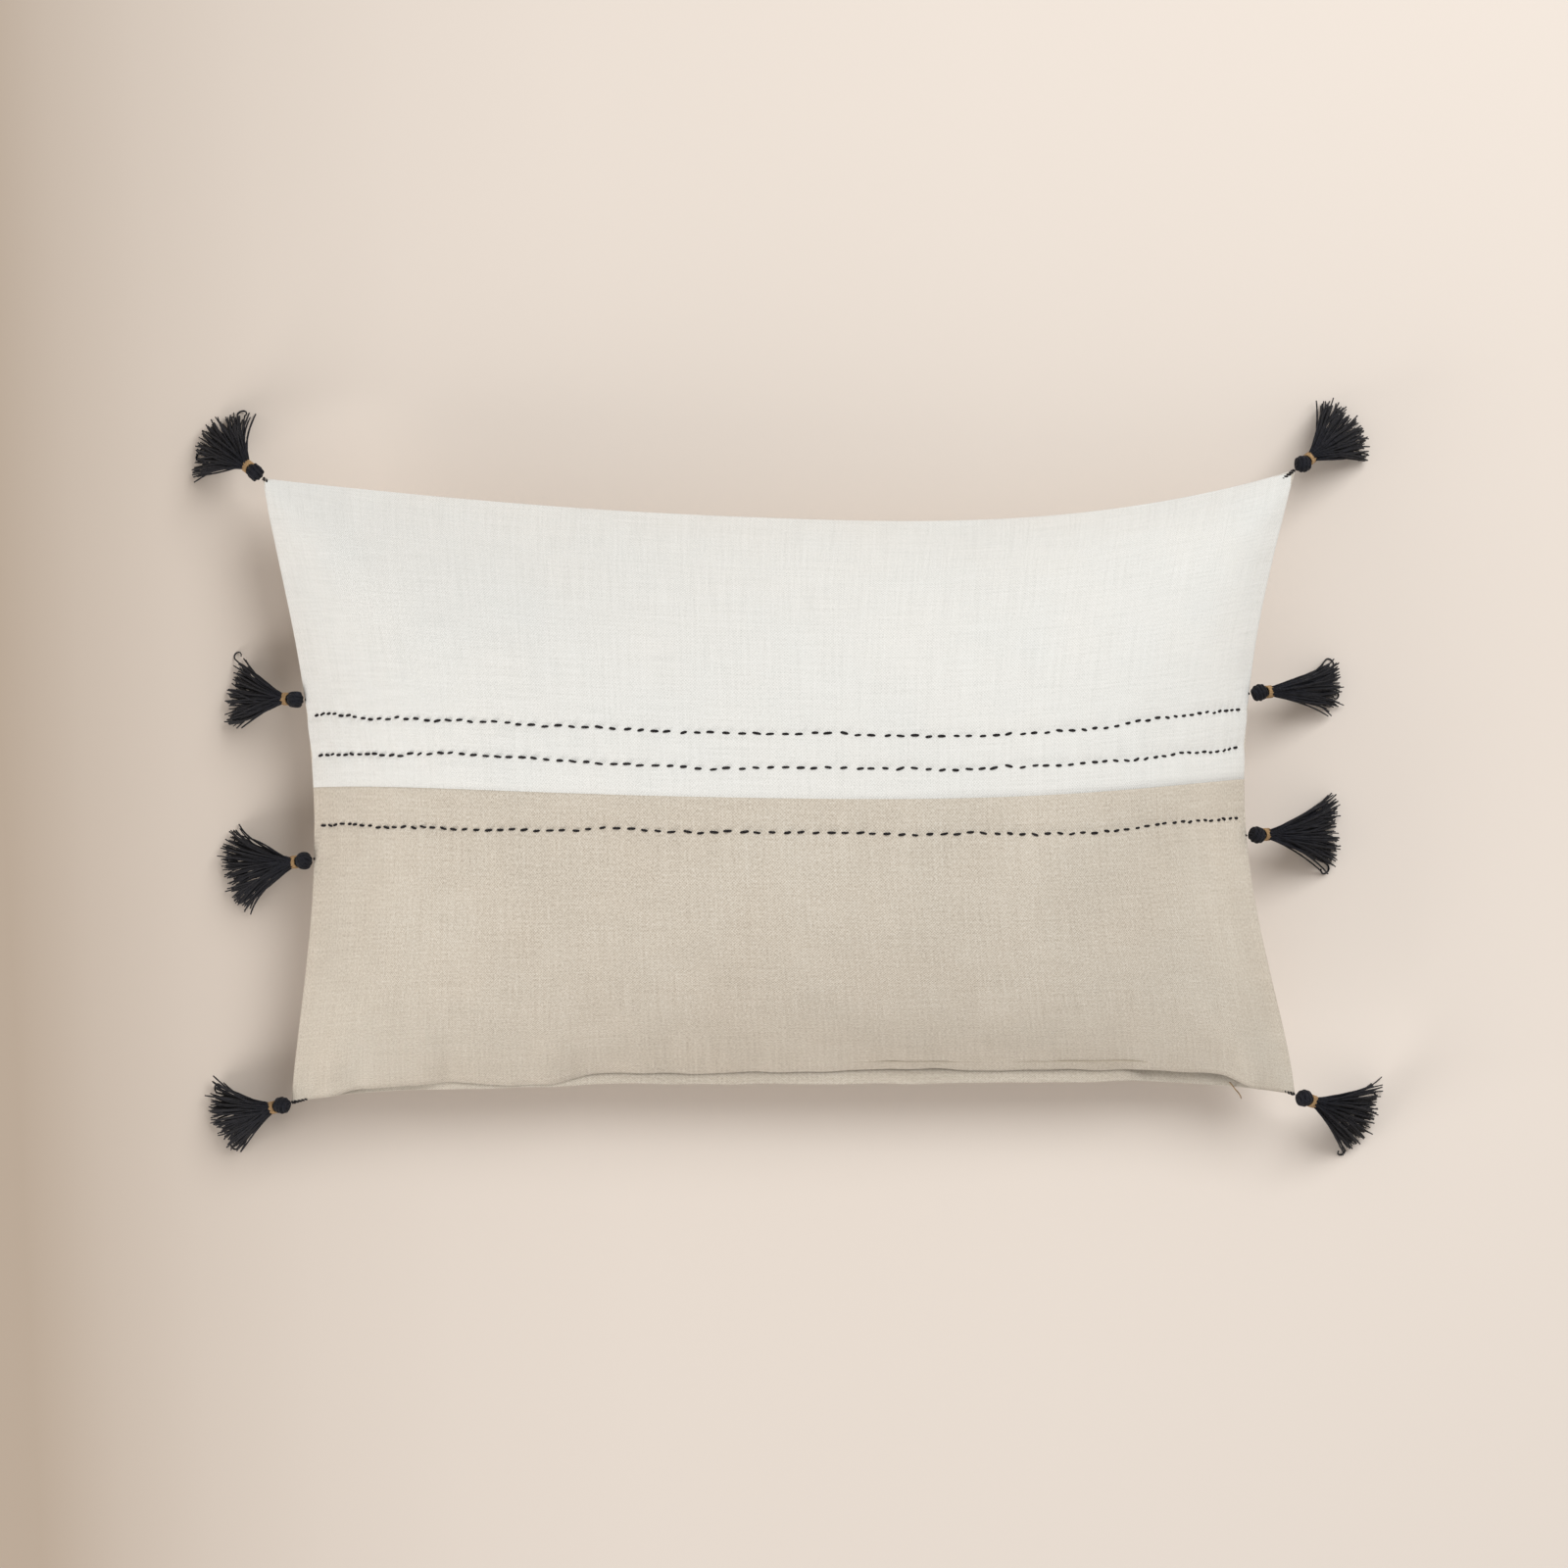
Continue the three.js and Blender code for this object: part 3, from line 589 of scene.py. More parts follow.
def blend_colour(nodes, links, factor, first, second, how="MIX"):
    node = nodes.new("ShaderNodeMix")
    node.data_type, node.blend_type = "RGBA", how
    sockets = node.inputs[0], node.inputs[6], node.inputs[7]
    for socket, value in zip(sockets, (factor, first, second)):
        if isinstance(value, (int, float)):
            socket.default_value = value
        elif isinstance(value, tuple):
            socket.default_value = (*value, 1)
        else:
            links.new(value, socket)
    return node.outputs[2]


def bumped(nodes, links, shader, height, distance, strength=1.0):
    node = nodes.new("ShaderNodeBump")
    node.inputs["Strength"].default_value = strength
    node.inputs["Distance"].default_value = distance
    links.new(height, node.inputs["Height"])
    links.new(node.outputs["Normal"], shader.inputs["Normal"])


def product(nodes, links, first, second):
    return calc(nodes, links, "MULTIPLY", first, second)


def centred(nodes, links, value):
    """A 0 to 1 value moved to -0.5 to 0.5."""
    return calc(nodes, links, "SUBTRACT", value, 0.5)


def woven(name, tones, pitch, slub=0.5, patch=0.35, bump=0.12 * MM, fleck_tone=0.5):
    """Plain-weave cloth with slubs both ways and soft patches of tone, and painted shade in the weave's
    hollows.

    tones are its dark, middle and light colours, and pitch is a yarn pair, in metres.
    """
    dark, base, light = tones
    made, nodes, links, shader = material(name, 0.92, sheen=0.15, specular=0.18)
    uv = nodes.new("ShaderNodeUVMap")
    uv.uv_map = "cloth"
    place = uv.outputs["UV"]
    frequency = 1 / pitch / WAVE_BANDS
    warp = wave(nodes, links, place, frequency, "X", 1.4)
    weft = wave(nodes, links, place, frequency * 0.93, "Y", 1.4)
    weave = product(nodes, links, centred(nodes, links, warp), centred(nodes, links, weft))
    weave = product(nodes, links, weave, 2.0)
    across = noise(nodes, links, mapped(nodes, links, place, (30, 900, 1)), 1.0, 4.0, 0.6)
    down = noise(nodes, links, mapped(nodes, links, place, (800, 26, 1)), 1.0, 4.0, 0.6)
    fleck = noise(nodes, links, place, 950.0, 2.0, 0.6)
    slubs = calc(nodes, links, "ADD", across, down)
    slubs = calc(nodes, links, "SUBTRACT", slubs, 1.0)
    patches = noise(nodes, links, place, 13.0, 4.0, 0.6)
    tone = product(nodes, links, slubs, slub)
    # The weave term paints the yarn crossings lighter and the hollows between them darker, in step with
    # the bump: painted shade. Slubs, patches and flecks are the cloth's own tone, varying at random.
    parts = (
        (centred(nodes, links, patches), patch),
        (centred(nodes, links, fleck), fleck_tone),
        (weave, 0.35),
    )
    for value, share in parts:
        tone = calc(nodes, links, "ADD", tone, product(nodes, links, value, share))
    tone = calc(nodes, links, "ADD", tone, 0.5)
    colour = ramp(nodes, links, tone, ((0.0, dark), (0.5, base), (1.0, light)))
    cool = product(nodes, links, noise(nodes, links, place, 21.0, 3.0, 0.6), 0.9)
    colour = blend_colour(nodes, links, cool, colour, (0.94, 0.975, 1.0), "MULTIPLY")
    links.new(colour, shader.inputs["Base Color"])
    height = calc(nodes, links, "ADD", weave, product(nodes, links, slubs, 1.3))
    height = calc(nodes, links, "ADD", height, product(nodes, links, fleck, 0.6))
    bumped(nodes, links, shader, height, bump)
    return made


def yarn(name, dark, light, ply, roughness=0.7, sheen=0.3, bump=0.12 * MM):
    """Twisted thread: fine slanting plies with painted shade in the grooves between them, and a little
    change of tone from strand to strand.
    """
    made, nodes, links, shader = material(name, roughness, sheen, 0.2)
    place = nodes.new("ShaderNodeTexCoord").outputs["Object"]
    plies = wave(nodes, links, place, 1 / ply / WAVE_BANDS, "DIAGONAL", 2.0)
    tone = noise(nodes, links, place, 260.0, 3.0, 0.6)
    # The colour follows the plies: the grooves between them are painted darker and their crests lighter,
    # a painted shade in step with the bump.
    ply_groove_shade = calc(nodes, links, "ADD", product(nodes, links, plies, 0.5), 0.6)
    colour = ramp(nodes, links, product(nodes, links, tone, ply_groove_shade), ((0.15, dark), (0.75, light)))
    links.new(colour, shader.inputs["Base Color"])
    bumped(nodes, links, shader, plies, bump)
    return made


def metal(name, base):
    made, nodes, links, shader = material(name, 0.34, specular=0.5)
    shader.inputs["Metallic"].default_value = 1.0
    place = nodes.new("ShaderNodeTexCoord").outputs["Object"]
    grain = noise(nodes, links, mapped(nodes, links, place, (600, 2500, 2500)), 1.0, 4.0, 0.6)
    darker = tuple(c * 0.72 for c in base)
    links.new(ramp(nodes, links, grain, ((0.3, darker), (0.7, base))), shader.inputs["Base Color"])
    rough = nodes.new("ShaderNodeMapRange")
    rough.inputs["To Min"].default_value, rough.inputs["To Max"].default_value = 0.26, 0.46
    links.new(grain, rough.inputs["Value"])
    links.new(rough.outputs["Result"], shader.inputs["Roughness"])
    bumped(nodes, links, shader, grain, 0.02 * MM)
    return made


WHITE_TONES = (0.60, 0.60, 0.57), (0.825, 0.81, 0.775), (0.92, 0.91, 0.885)
BEIGE_TONES = (0.38, 0.32, 0.256), (0.64, 0.568, 0.475), (0.84, 0.785, 0.70)
CASING_TONES = (0.70, 0.69, 0.66), (0.82, 0.81, 0.79), (0.9, 0.9, 0.88)
TAPE_TONES = (0.40, 0.34, 0.26), (0.58, 0.51, 0.41), (0.7, 0.63, 0.53)
WHITE = woven("white_cotton", WHITE_TONES, 1.3 * MM, 0.45, 0.12)
BEIGE = woven("beige_linen", BEIGE_TONES, 1.25 * MM, 0.34, 0.32, 0.13 * MM, 0.95)
CASING = woven("insert_casing", CASING_TONES, 0.7 * MM, 0.3, 0.1)
TAPE = woven("zip_tape", TAPE_TONES, 0.8 * MM, 0.3, 0.2)
DARK_THREAD = yarn("dark_thread", (0.008, 0.007, 0.008), (0.030, 0.025, 0.027), 0.9 * MM, 0.85, 0.05)
THREAD_TONES = (0.0032, 0.0035, 0.0054), (0.0125, 0.0135, 0.0215)
TASSEL_THREAD = yarn("tassel_thread", *THREAD_TONES, 0.7 * MM, 0.7, 0.05)
TAN_WRAP = yarn("tan_wrap", (0.24, 0.145, 0.068), (0.50, 0.32, 0.155), 0.6 * MM, 0.7, 0.1)
SEWING = yarn("sewing_thread", (0.50, 0.45, 0.37), (0.74, 0.68, 0.58), 0.4 * MM)
FIBRE = yarn("insert_fibre", (0.80, 0.79, 0.77), (0.93, 0.92, 0.91), 2.5 * MM, 0.95, 0.4, 0.4 * MM)
NYLON = yarn("zip_coil", (0.50, 0.44, 0.35), (0.66, 0.59, 0.49), 0.8 * MM, 0.4, 0.0, 0.02 * MM)
ZINC = metal("zip_metal", (0.52, 0.49, 0.44))


def finish_piece(piece, paint, slot, body, *nodes):
    piece.data.materials.clear()
    piece.data.materials.append(paint)
    if nodes:
        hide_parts(*nodes)
    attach(piece, body)
    return piece


# ---------------------------------------------------------------- cover


def make_cover():
    """The three cover panels. Gives back the front's cloth, which the stitches are laid on."""
    front, back = settle(*simulate())
    cu = column_lines()
    upper_cv, lower_cv = row_lines(JOIN_CV, 1.0), row_lines(-1.0, JOIN_CV)
    all_cv = np.concatenate([lower_cv, upper_cv[1:]])
    whole = shape_front(front, cu, all_cv)
    split = len(lower_cv) - 1
    upper, lower = whole[split:].copy(), whole[: split + 1].copy()
    for edge, away in ((upper[0], JOIN_GAP), (lower[-1], -JOIN_GAP)):
        edge[:, 1] += away
        edge[:, 2] -= JOIN_SINK
    back_cu, back_cv = cu[::2], row_lines(-1.0, 1.0)[::2]
    back_grid = shape_back(back, back_cu, back_cv)
    pieces = (
        ("cover_front_upper", upper, cu, upper_cv, 1, WHITE, "white_cotton", "front_upper_panel"),
        ("cover_front_lower", lower, cu, lower_cv, 1, BEIGE, "beige_linen", "front_lower_panel"),
        ("cover_back", back_grid, back_cu, back_cv, -1, BEIGE, "beige_linen", "back_panel"),
    )
    for name, grid, across, along, face, paint, slot, node in pieces:
        piece = cloth_shell(name, grid, across, along, face)
        finish_piece(piece, paint, slot, "cushion", node)
    return whole, cu, all_cv


def reader(whole, cu, cv):
    """A function that gives the front's surface point and normal at a place on the cloth."""
    n = normals_of(whole, 1)

    def read(a, b):
        i = np.clip(np.searchsorted(cu, a) - 1, 0, len(cu) - 2)
        j = np.clip(np.searchsorted(cv, b) - 1, 0, len(cv) - 2)
        s = (a - cu[i]) / (cu[i + 1] - cu[i])
        t = (b - cv[j]) / (cv[j + 1] - cv[j])
        out = []
        for field in (whole, n):
            low = field[j, i] * (1 - s)[:, None] + field[j, i + 1] * s[:, None]
            high = field[j + 1, i] * (1 - s)[:, None] + field[j + 1, i + 1] * s[:, None]
            out.append(low * (1 - t)[:, None] + high * t[:, None])
        return out

    return read


# ---------------------------------------------------------------- sewing


def make_stitches(read):
    """Three rows of running stitch, each stitch a bowed thread that dips into the cloth at its ends."""
    half_width, half_length = CUT[1] / 2, CUT[0] / 2
    for seed, (name, row) in enumerate(ROW_CV.items()):
        random = np.random.default_rng(60 + seed)
        count = int((CUT[0] - 2 * MM) / STITCH_PITCH)
        start = -half_length + (CUT[0] - (count - 1) * STITCH_PITCH) / 2
        parts = []
        for k in range(count):
            middle = start + k * STITCH_PITCH + random.normal(0, 0.35) * MM
            length = STITCH_LENGTH * random.uniform(0.82, 1.2)
            tilt = random.normal(0, 0.13)
            along = np.linspace(-1, 1, 9)
            a = np.clip((middle + along * length / 2) / half_length, -1, 1)
            off_line = random.normal(0, 0.22) * MM + along * tilt * length / 2
            b = row + row_drift(a, seed) + off_line / half_width
            points, n = read(a, b)
            lift = (0.42 - 1.0 * np.abs(along) ** 3) * MM
            points = points + n * lift[:, None]
            radius = STITCH_RADIUS * random.uniform(0.86, 1.12) * (1 - 0.35 * np.abs(along) ** 3)
            parts.append(tube(points, radius, 8, 0.4))
        piece = mesh_object(name + "_thread", *join_parts(parts))
        finish_piece(piece, DARK_THREAD, "dark_thread", "cushion", name)


def make_hidden_threads(read):
    """Sewing thread inside the seams, and the loose end where the zip's seam finishes."""
    places = np.linspace(-0.9, 0.9, 160)
    points, n = read(places, np.full_like(places, JOIN_CV))
    depth = (CLOTH + 0.9 * MM) + 0.25 * MM * np.cos(np.arange(len(places)) * math.pi)
    join = mesh_object("join_seam_thread", *tube(points - n * depth[:, None], SEWING_RADIUS, 6))
    finish_piece(join, SEWING, "sewing_thread", "cushion", "panel_join_thread")
    low, high = (np.array(p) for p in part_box("perimeter_seam_thread"))
    inset = 4 * MM
    scale = 1 - inset / (CUT / 2)
    line = np.linspace(-0.96, 0.96, 90)
    one = np.ones_like(line)
    route = [plan(-one * scale[0], line * scale[1]), plan(line * scale[0], one * scale[1])]
    route.append(plan(one * scale[0], -line * scale[1]))
    flat = np.concatenate(route)
    height = (low[2] + high[2]) / 2 + 0.2 * MM * np.cos(np.arange(len(flat)) * math.pi)
    seam_path = np.column_stack([flat, height])
    seam = mesh_object("perimeter_seam_sewing", *tube(seam_path, SEWING_RADIUS, 6))
    finish_piece(seam, SEWING, "sewing_thread", "cushion", "perimeter_seam_thread")
    end = plan(np.array(0.876), np.array(-1.0))
    t = np.linspace(0, 1, 16)
    x = end[0] - 1 * MM + 6.5 * MM * t
    y = end[1] + 2 * MM - (2 + 7.5 * t + 1.3 * np.sin(5 * t)) * MM * t**0.8
    z = SEAM_Z - (1.2 + 8 * t**2) * MM
    tail = mesh_object("loose_thread_end", *tube(np.column_stack([x, y, z]), LOOSE_END_RADIUS, 6))
    finish_piece(tail, TAN_WRAP, "tan_wrap", "cushion")


# ---------------------------------------------------------------- zip


def make_tape(name, node, face):
    """A strip of tape behind the teeth that leans out to the lip, a little rippled."""
    low, high = (np.array(p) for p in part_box(node))
    x = np.linspace(low[0], high[0], 200)
    inner, outer = ZIP_Y + 0.35 * MM, low[1] + 0.1 * MM
    profile = [(inner, 0.2 * MM), (inner, TAPE_BEND / 2), (inner, TAPE_BEND)]
    profile += [((inner + outer) / 2, (TAPE_BEND + TAPE_EDGE) / 2), (outer, TAPE_EDGE)]
    rows = []
    for k, (y, z) in enumerate(profile):
        ripple = wander(x, 70 + k, 5, 0.08, 0.02) * 0.12 * MM * (k / 4)
        rows.append(np.column_stack([x, y + ripple, np.full_like(x, SEAM_Z + face * z)]))
    grid = np.array(rows)
    cv = np.linspace(0, TAPE_EDGE, 5) / (CUT[1] / 2)
    piece = cloth_shell(name, grid, x / (CUT[0] / 2), cv, face, TAPE_CLOTH)
    finish_piece(piece, TAPE, "zip_tape", "cushion", node)


def make_coil(name, node, face):
    """One side of the chain: a nylon coil of flattened turns, sewn to its tape."""
    low, high = (np.array(p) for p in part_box(node))
    turns = int((high[0] - low[0]) / COIL_PITCH)
    steps = 10
    angle = np.arange(turns * steps) / steps * 2 * math.pi
    middle = (low + high) / 2
    depth = (high[1] - low[1]) / 2 - 0.28 * MM
    width = (high[2] - low[2]) / 2 - 0.12 * MM
    shift = 0 if face > 0 else math.pi
    x = low[0] + 0.4 * MM + angle / (2 * math.pi) * COIL_PITCH
    y = middle[1] + depth * np.sin(angle + shift)
    z = middle[2] + width * np.cos(angle + shift)
    piece = mesh_object(name, *tube(np.column_stack([x, y, z]), COIL_STRAND, 5))
    finish_piece(piece, NYLON, "zip_coil", "cushion", node)


def make_metal_piece(name, node, body, round_by):
    """The CAD piece with its edges rounded, as a casting has them."""
    piece = frame["nodes"][node].copy()
    piece.data = frame["nodes"][node].data.copy()
    piece.name = name
    for key in list(piece.keys()):
        del piece[key]
    piece.parent = None
    bpy.context.scene.collection.objects.link(piece)
    weld = piece.modifiers.new("weld", "WELD")
    weld.merge_threshold = 1e-6
    bevel = piece.modifiers.new("round", "BEVEL")
    bevel.width, bevel.segments, bevel.limit_method = round_by, 3, "ANGLE"
    bevel.angle_limit = math.radians(30)
    bpy.context.view_layer.update()
    evaluated = piece.evaluated_get(bpy.context.evaluated_depsgraph_get())
    mesh = bpy.data.meshes.new_from_object(evaluated)
    piece.modifiers.clear()
    piece.data = mesh
    finish_piece(piece, ZINC, "zip_metal", body, node)


def make_zip():
    make_tape("zip_tape_front_cloth", "zip_tape_front", 1)
    make_tape("zip_tape_back_cloth", "zip_tape_back", -1)
    make_coil("zip_coil_front_turns", "zip_coil_front", 1)
    make_coil("zip_coil_back_turns", "zip_coil_back", -1)
    make_metal_piece("zip_slider_casting", "zip_slider", "zip_slider", 0.22 * MM)
    make_metal_piece("zip_pull_tab_casting", "zip_pull_tab", "zip_pull_tab", 0.2 * MM)
    for stop in ("zip_top_stop_front", "zip_top_stop_back", "zip_bottom_stop"):
        make_metal_piece(stop + "_clip", stop, "cushion", 0.25 * MM)


# ---------------------------------------------------------------- insert


def insert_surface(u, v, face, inset, sunk):
    """One side of the pillow insert, inside the cover and clear of the zip."""
    shrink = 1 - inset / (CUT / 2)
    back = INSERT_ZIP_ROOM * (1 - u**40) * ((1 - v) / 2) ** 8 / (CUT[1] / 2)
    flat = plan(u * shrink[0], v * shrink[1] + back)
    rise = (CROWN_RISE if face > 0 else -BACK_DROP) * INSERT_SHARE - face * sunk
    full = fullness(u, v)
    lumps = wander(u + 0.7 * v, 90, 5, 1.1, 0.3) * wander(v - 0.3 * u, 91, 5, 1.0, 0.3) * 0.8 * MM
    z = SEAM_Z + face * 0.1 * MM + rise * full + face * lumps * full
    low = 3 * MM + sunk
    z = np.where(face < 0, np.maximum(z, low), z)
    return np.concatenate([flat, z[..., None]], axis=-1)


def make_insert():
    """The casing's two sides, and the fibre fill as one closed body inside them."""
    cu, cv = np.linspace(-1, 1, 81), np.linspace(-1, 1, 49)
    u, v = np.meshgrid(np.sin(cu * math.pi / 2), np.sin(cv * math.pi / 2))
    for side, face in (("front", 1), ("back", -1)):
        name, node = f"insert_{side}_cloth", f"insert_casing_{side}"
        grid = insert_surface(u, v, face, INSERT_INSET, 0)
        piece = cloth_shell(name, grid, cu, cv, face, INSERT_CLOTH)
        finish_piece(piece, CASING, "insert_casing", "cushion", node)
    top = insert_surface(u, v, 1, FILL_INSET, FILL_SUNK)
    bottom = insert_surface(u, v, -1, FILL_INSET, FILL_SUNK)
    rows, columns = top.shape[:2]
    faces = grid_faces(rows, columns)
    faces += grid_faces(rows, columns, rows * columns, flip=True)
    rim = list(range(columns)) + [j * columns + columns - 1 for j in range(1, rows)]
    rim += [(rows - 1) * columns + i for i in range(columns - 2, -1, -1)]
    rim += [j * columns for j in range(rows - 2, 0, -1)]
    count = rows * columns
    for k, a in enumerate(rim):
        b = rim[(k + 1) % len(rim)]
        faces.append((a, count + a, count + b, b))
    points = np.concatenate([top.reshape(-1, 3), bottom.reshape(-1, 3)])
    fill = mesh_object("insert_fibre_fill", points, faces)
    finish_piece(fill, FIBRE, "insert_fibre", "cushion", "insert_fill")


# ---------------------------------------------------------------- tassels


def unit(vector):
    return np.asarray(vector, float) / np.linalg.norm(vector)


def heading_of(tassel):
    """The way a tassel points in plan, read from the axis its fringe lifts about."""
    axis = next(j["axis"] for j in frame["joints"] if j["name"] == tassel + "_lift")
    return np.array([-axis[1], axis[0], 0.0])


def centre_of(node):
    low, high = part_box(node)
    return (np.array(low) + np.array(high)) / 2


def basis_of(axis):
    """Two directions square to axis."""
    side = unit(np.cross(axis, (0.31, 0.2, 0.93)))
    return side, np.cross(axis, side)


def helix(start, end, radius, turns, phase=0.0, steps=12):
    axis = unit(end - start)
    side, other = basis_of(axis)
    t = np.linspace(0, 1, int(turns * steps) + 1)
    angle = t * turns * 2 * math.pi + phase
    line = start + (end - start) * t[:, None]
    return line + radius * (np.cos(angle)[:, None] * side + np.sin(angle)[:, None] * other)


def make_cord(tassel):
    """Two plies twisted together, from inside the seam to the knot."""
    node = frame["nodes"][tassel + "_cord"]
    points = np.array([v.co for v in node.data.vertices])
    middle = points.mean(0)
    axis = np.linalg.svd(points - middle)[2][0]
    reach = (points - middle) @ axis
    outward = np.sign(axis @ heading_of(tassel))
    start = middle + outward * axis * reach.min()
    end = middle + outward * axis * (reach.max() - CORD_KNOT_GAP)
    parts = []
    for phase in (0, math.pi):
        ply = helix(start, end, CORD_TWIST_RADIUS, 2.4, phase, 10)
        parts.append(tube(ply, CORD_PLY_RADIUS, 8))
    cord = mesh_object(tassel + "_cord_plies", *join_parts(parts))
    finish_piece(cord, DARK_THREAD, "tassel_thread", "cushion", tassel + "_cord")


def ring_points(centre, axis, radius, offset, steps=28):
    """A slightly wavy turn of cord round axis."""
    side, other = basis_of(axis)
    angle = np.linspace(0, 2 * math.pi, steps + 1)
    wobble = 0.15 * MM * np.sin(angle * 2 + offset * 900)
    circle = np.cos(angle)[:, None] * side + np.sin(angle)[:, None] * other
    return centre + axis * (offset + wobble)[:, None] + circle * radius


def make_knot(tassel, random):
    """A ball knot of wound cord: turns in three directions over a core."""
    node = tassel + "_knot"
    low, high = (np.array(p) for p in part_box(node))
    centre, radius = (low + high) / 2, (high - low).min() / 2
    first = unit(random.normal(size=3))
    second = unit(np.cross(first, random.normal(size=3)))
    parts = []
    for axis, shell in zip((first, second, np.cross(first, second)), KNOT_SHELLS):
        for share in (-0.62, -0.21, 0.21, 0.62):
            offset = share * radius * shell
            around = math.sqrt((radius * shell) ** 2 - offset**2) - KNOT_STRAND * 0.8
            parts.append(tube(ring_points(centre, axis, around, offset), KNOT_STRAND, 7))
    places = np.linspace(-1, 1, 9)
    core = [centre + first * radius * KNOT_CORE * s for s in places]
    swell = radius * KNOT_CORE * np.sqrt(np.clip(1 - places**2, 0.02, 1))
    parts.append(tube(core, swell, 14))
    knot = mesh_object(tassel + "_knot_turns", *join_parts(parts))
    finish_piece(knot, TASSEL_THREAD, "tassel_thread", tassel + "_swivel", node)


def make_band(tassel, neck, way):
    """Fine tan thread wound round the neck of the fringe."""
    half = BAND_LENGTH / 2
    end = neck + way * half
    winding = helix(neck - way * (half - 0.35 * MM), end, BAND_RADIUS - 0.34 * MM, 7, 0, 16)
    core = tube([neck - way * (half - 1.1 * MM), end], BAND_RADIUS - 0.5 * MM, 16)
    band = mesh_object(tassel + "_band_wrap", *join_parts([tube(winding, 0.42 * MM, 6), core]))
    finish_piece(band, TAN_WRAP, "tan_wrap", tassel + "_fringe", tassel + "_band")


def thread_path(neck, way, heading, across, place, length, random):
    """One thread of a fringe, from inside the band to the floor, at place -1 to 1 across the fan."""
    t = np.linspace(0, 1, 13)
    side, other = basis_of(way)
    spot = random.uniform(0, 2 * math.pi)
    spread = ROOT_SPREAD * math.sqrt(random.uniform(0, 1))
    root = neck - way * BAND_LENGTH * 0.26
    root = root + side * spread * math.cos(spot) + other * spread * math.sin(spot)
    turn = across * place
    bend = random.normal(0, 0.07)
    out = length * t
    held = np.minimum(out, BAND_LENGTH * HELD_SHARE * np.hypot(way[0], way[1]))
    angle = turn * (0.94 + 0.06 * t) + bend * t**2
    normal = np.array([-heading[1], heading[0], 0.0])
    ahead = heading * np.cos(angle)[:, None] + normal * np.sin(angle)[:, None]
    flat = root + heading * held[:, None] + ahead * (out - held)[:, None]
    curl = random.normal(0, 1.0) * MM * np.sin(math.pi * t * random.uniform(0.8, 1.9)) * t
    flat += (normal * np.cos(turn) - heading * np.sin(turn)) * curl[:, None]
    drop = 1 - np.clip(t, 0, 1) ** random.uniform(1.35, 1.9)
    floor_gap = THREAD_RADIUS + random.uniform(0.2, 7.0) * MM * (1 - 0.4 * abs(place))
    flat[:, 2] = floor_gap + (root[2] - floor_gap) * drop
    leaves = t[2]  # by here the thread has left the band
    straight = root + way * (BAND_LENGTH * 1.1 * t / leaves)[:, None]
    inside = np.clip(1 - t / leaves, 0, 1)[:, None] ** 2
    return flat * (1 - inside) + straight * inside


def loop_path(path, random):
    """A thread that turns back on itself near its tip, as the uncut ones do."""
    tip, before = path[-1], path[-4]
    ahead = unit(tip - before)
    side = unit(np.cross(ahead, (0, 0, 1)))
    angle = np.linspace(0, math.pi * 1.35, 9)[1:]
    size = random.uniform(1.6, 2.6) * MM
    forward, sideways = np.sin(angle) * size * 1.5, (1 - np.cos(angle)) * size
    curl = tip + ahead * forward[:, None] + side * sideways[:, None]
    path = np.concatenate([path, curl])
    path[:, 2] = np.maximum(path[:, 2], THREAD_RADIUS)
    return path


def make_locks(random):
    """A fringe's locks: where each lies across the fan, how tightly it gathers, and its length."""
    count = FRINGE_LOCKS
    middles = 2 * (np.arange(count) + 0.5) / count - 1 + random.normal(0, 0.05, count)
    gathers = random.uniform(0.05, 0.4, count)
    lengths = random.uniform(0.93, 1.05, count)
    return list(zip(middles, gathers, lengths))


def make_skirt(tassel, neck, way, number, random):
    """The fringe: threads gathered in locks, a few strays, and two that loop back."""
    spread, length = math.radians(FANS[tassel][0]) / 2, FANS[tassel][1] * MM
    heading = heading_of(tassel)
    locks = make_locks(random)
    parts = []
    for k in range(FRINGE_THREADS):
        middle, gather, share = locks[k * len(locks) // FRINGE_THREADS]
        even = 2 * (k + 0.5) / FRINGE_THREADS - 1
        place = even + (middle - even) * gather + random.normal(0, 0.06)
        reach = length * share * random.uniform(0.9, 1.03)
        if k % STRAY_EVERY == STRAY_FIRST:
            place, reach = place * 1.12, reach * random.uniform(0.9, 1.1)
        path = thread_path(neck, way, heading, spread, place, reach, random)
        if k in (FRINGE_THREADS - 5, 8 + 3 * number):
            path = loop_path(path, random)
        radius = THREAD_RADIUS * random.uniform(0.8, 1.12)
        width = radius * (1 - 0.3 * np.linspace(0, 1, len(path)) ** 6)
        parts.append(tube(path, width, 6, 0.5))
    skirt = mesh_object(tassel + "_fringe_threads", *join_parts(parts))
    finish_piece(skirt, TASSEL_THREAD, "tassel_thread", tassel + "_fringe", tassel + "_skirt")


def make_tassels():
    for number, tassel in enumerate(FANS):
        random = np.random.default_rng(200 + number)
        neck = centre_of(tassel + "_band")
        way = unit(neck - centre_of(tassel + "_knot"))
        make_cord(tassel)
        make_knot(tassel, random)
        make_band(tassel, neck, way)
        make_skirt(tassel, neck, way, number % 4, random)


# ---------------------------------------------------------------- floor, light, camera


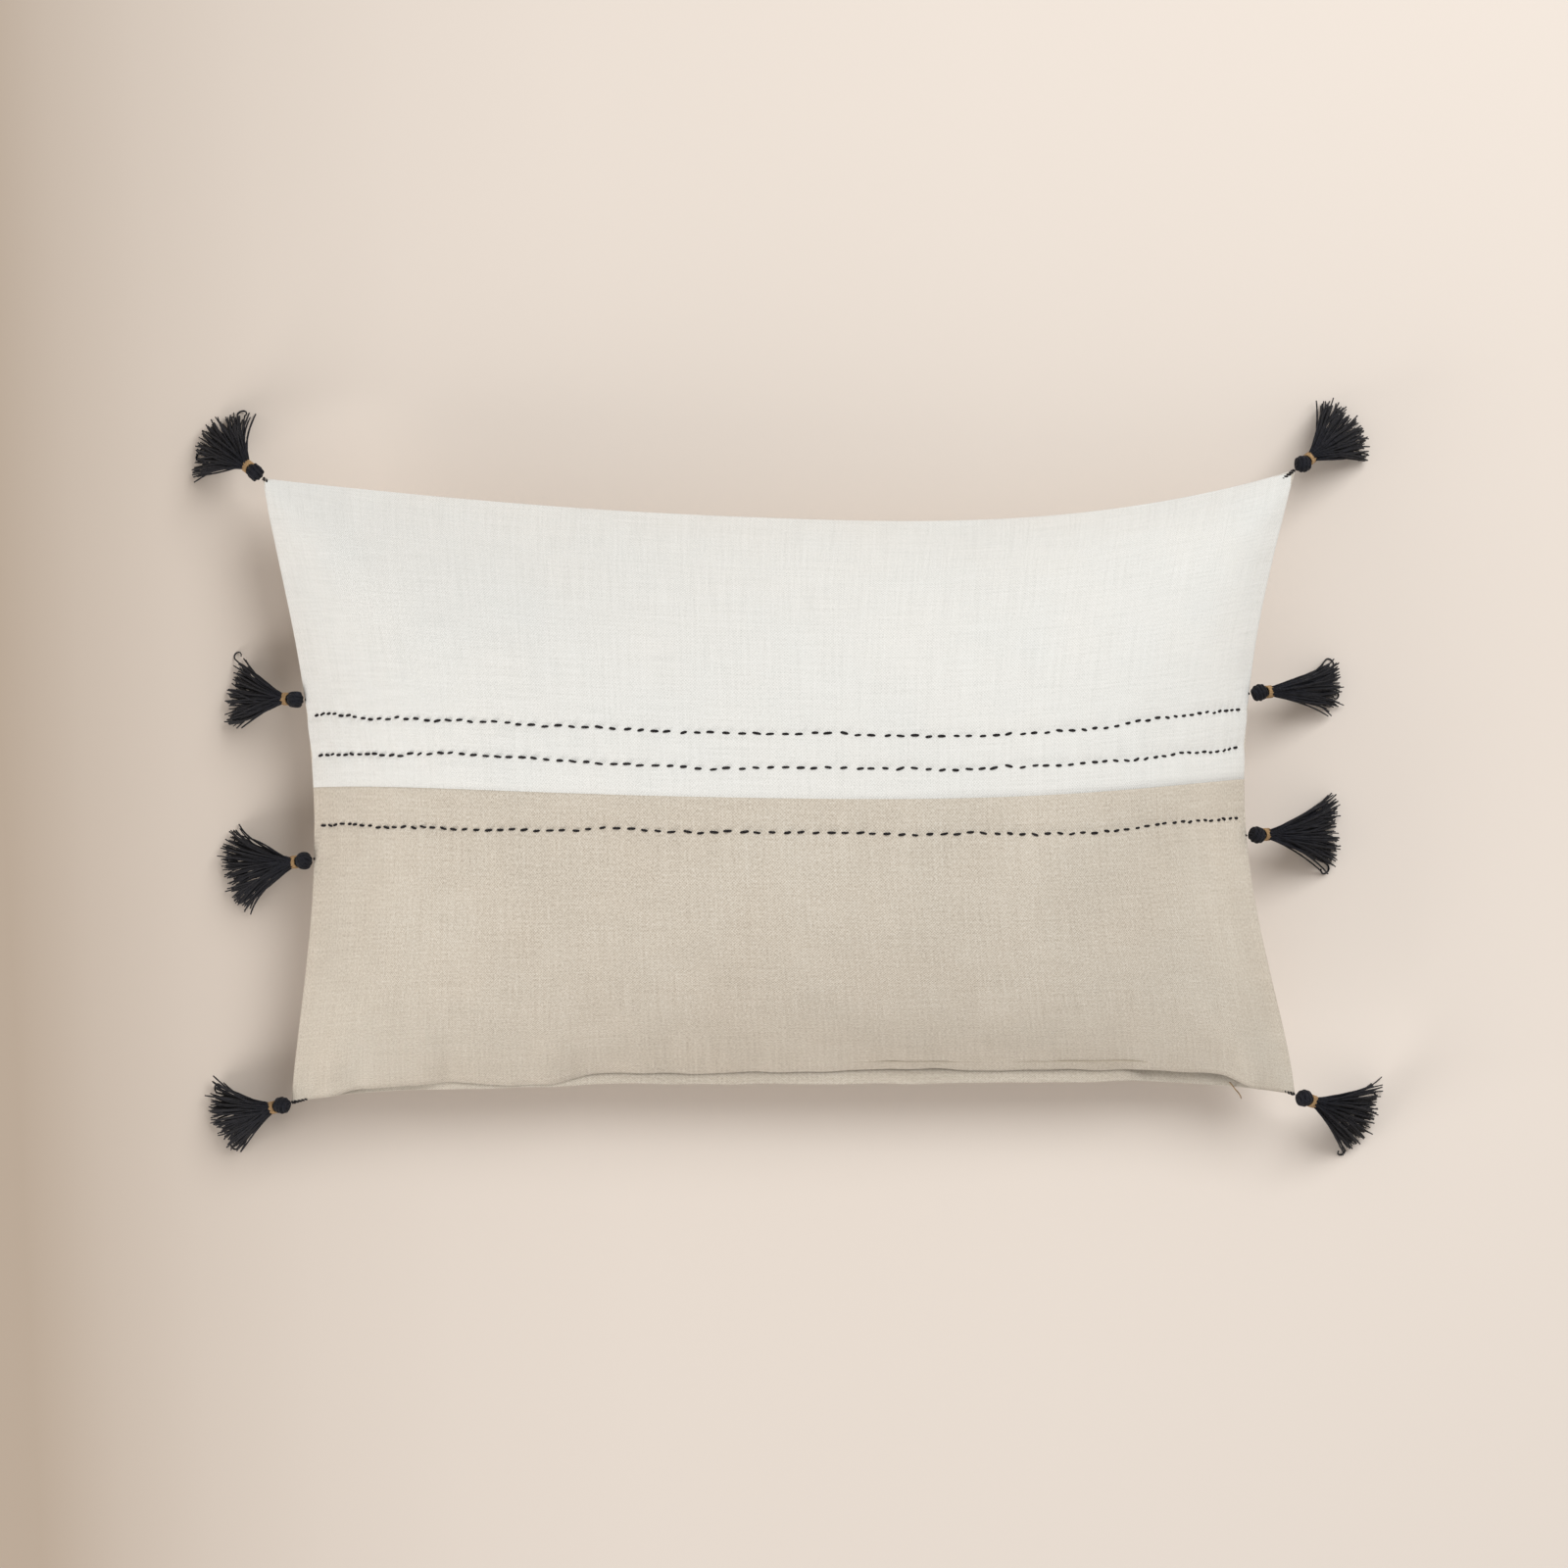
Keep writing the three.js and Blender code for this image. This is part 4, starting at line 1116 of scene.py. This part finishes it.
def make_floor():
    """A plain pale floor, with painted shade that darkens it softly towards the left."""
    bpy.ops.mesh.primitive_plane_add(size=24, location=(0, 0, 0))
    floor = bpy.context.object
    floor.name = "studio_floor"
    made, nodes, links, shader = material("studio_floor", 0.95, specular=0.1)
    place = nodes.new("ShaderNodeTexCoord").outputs["Object"]
    parts = nodes.new("ShaderNodeSeparateXYZ")
    links.new(place, parts.inputs["Vector"])
    lean = product(nodes, links, parts.outputs["Y"], 0.05)
    slope = calc(nodes, links, "ADD", parts.outputs["X"], lean)
    across = nodes.new("ShaderNodeMapRange")
    across.inputs["From Min"].default_value = FLOOR_PAINTED_SHADE_FROM
    across.inputs["From Max"].default_value = FLOOR_PAINTED_SHADE_TO
    links.new(slope, across.inputs["Value"])
    # The ramp paints shade onto the floor: darkest at the left, fading to the pale colour.
    shade, light = np.array(FLOOR_PAINTED_SHADE), np.array(FLOOR_LIGHT)
    stops = []
    for at in FLOOR_STOPS:
        stops.append((at, tuple(light + (shade - light) * math.exp(-FLOOR_PAINTED_SHADE_FALL * at))))
    links.new(ramp(nodes, links, across.outputs["Result"], stops), shader.inputs["Base Color"])
    floor.data.materials.append(made)


def area_light(name, place, aim, size, power, colour):
    data = bpy.data.lights.new(name, "AREA")
    data.shape, data.size, data.energy, data.color = "DISK", size, power, colour
    lamp = bpy.data.objects.new(name, data)
    lamp.location = place
    lamp.rotation_euler = (Vector(aim) - Vector(place)).to_track_quat("-Z", "Y").to_euler()
    bpy.context.scene.collection.objects.link(lamp)


def set_scene():
    scene = bpy.context.scene
    world = bpy.data.worlds.new("studio")
    world.use_nodes = True
    background = world.node_tree.nodes["Background"]
    background.inputs["Color"].default_value = (*FILL_COLOUR, 1)
    background.inputs["Strength"].default_value = FILL_STRENGTH
    scene.world = world
    area_light("key", KEY_PLACE, (0, 0, 0.03), KEY_SIZE, KEY_POWER, (0.985, 1.0, 1.0))
    area_light("side", SIDE_PLACE, (0, 0, 0.08), SIDE_SIZE, SIDE_POWER, (1.0, 0.985, 0.965))
    camera = bpy.data.cameras.new("camera")
    camera.sensor_width = SENSOR
    camera.lens = SENSOR * CAMERA_HEIGHT / VIEW_WIDTH
    seen = bpy.data.objects.new("camera", camera)
    seen.location = (0, VIEW_MIDDLE_Y, SEAM_Z + CAMERA_HEIGHT)
    scene.collection.objects.link(seen)
    scene.camera = seen
    scene.view_settings.view_transform = "Standard"


def main():
    read = reader(*make_cover())
    make_stitches(read)
    make_hidden_threads(read)
    make_zip()
    make_insert()
    make_tassels()
    make_floor()
    set_scene()


main()
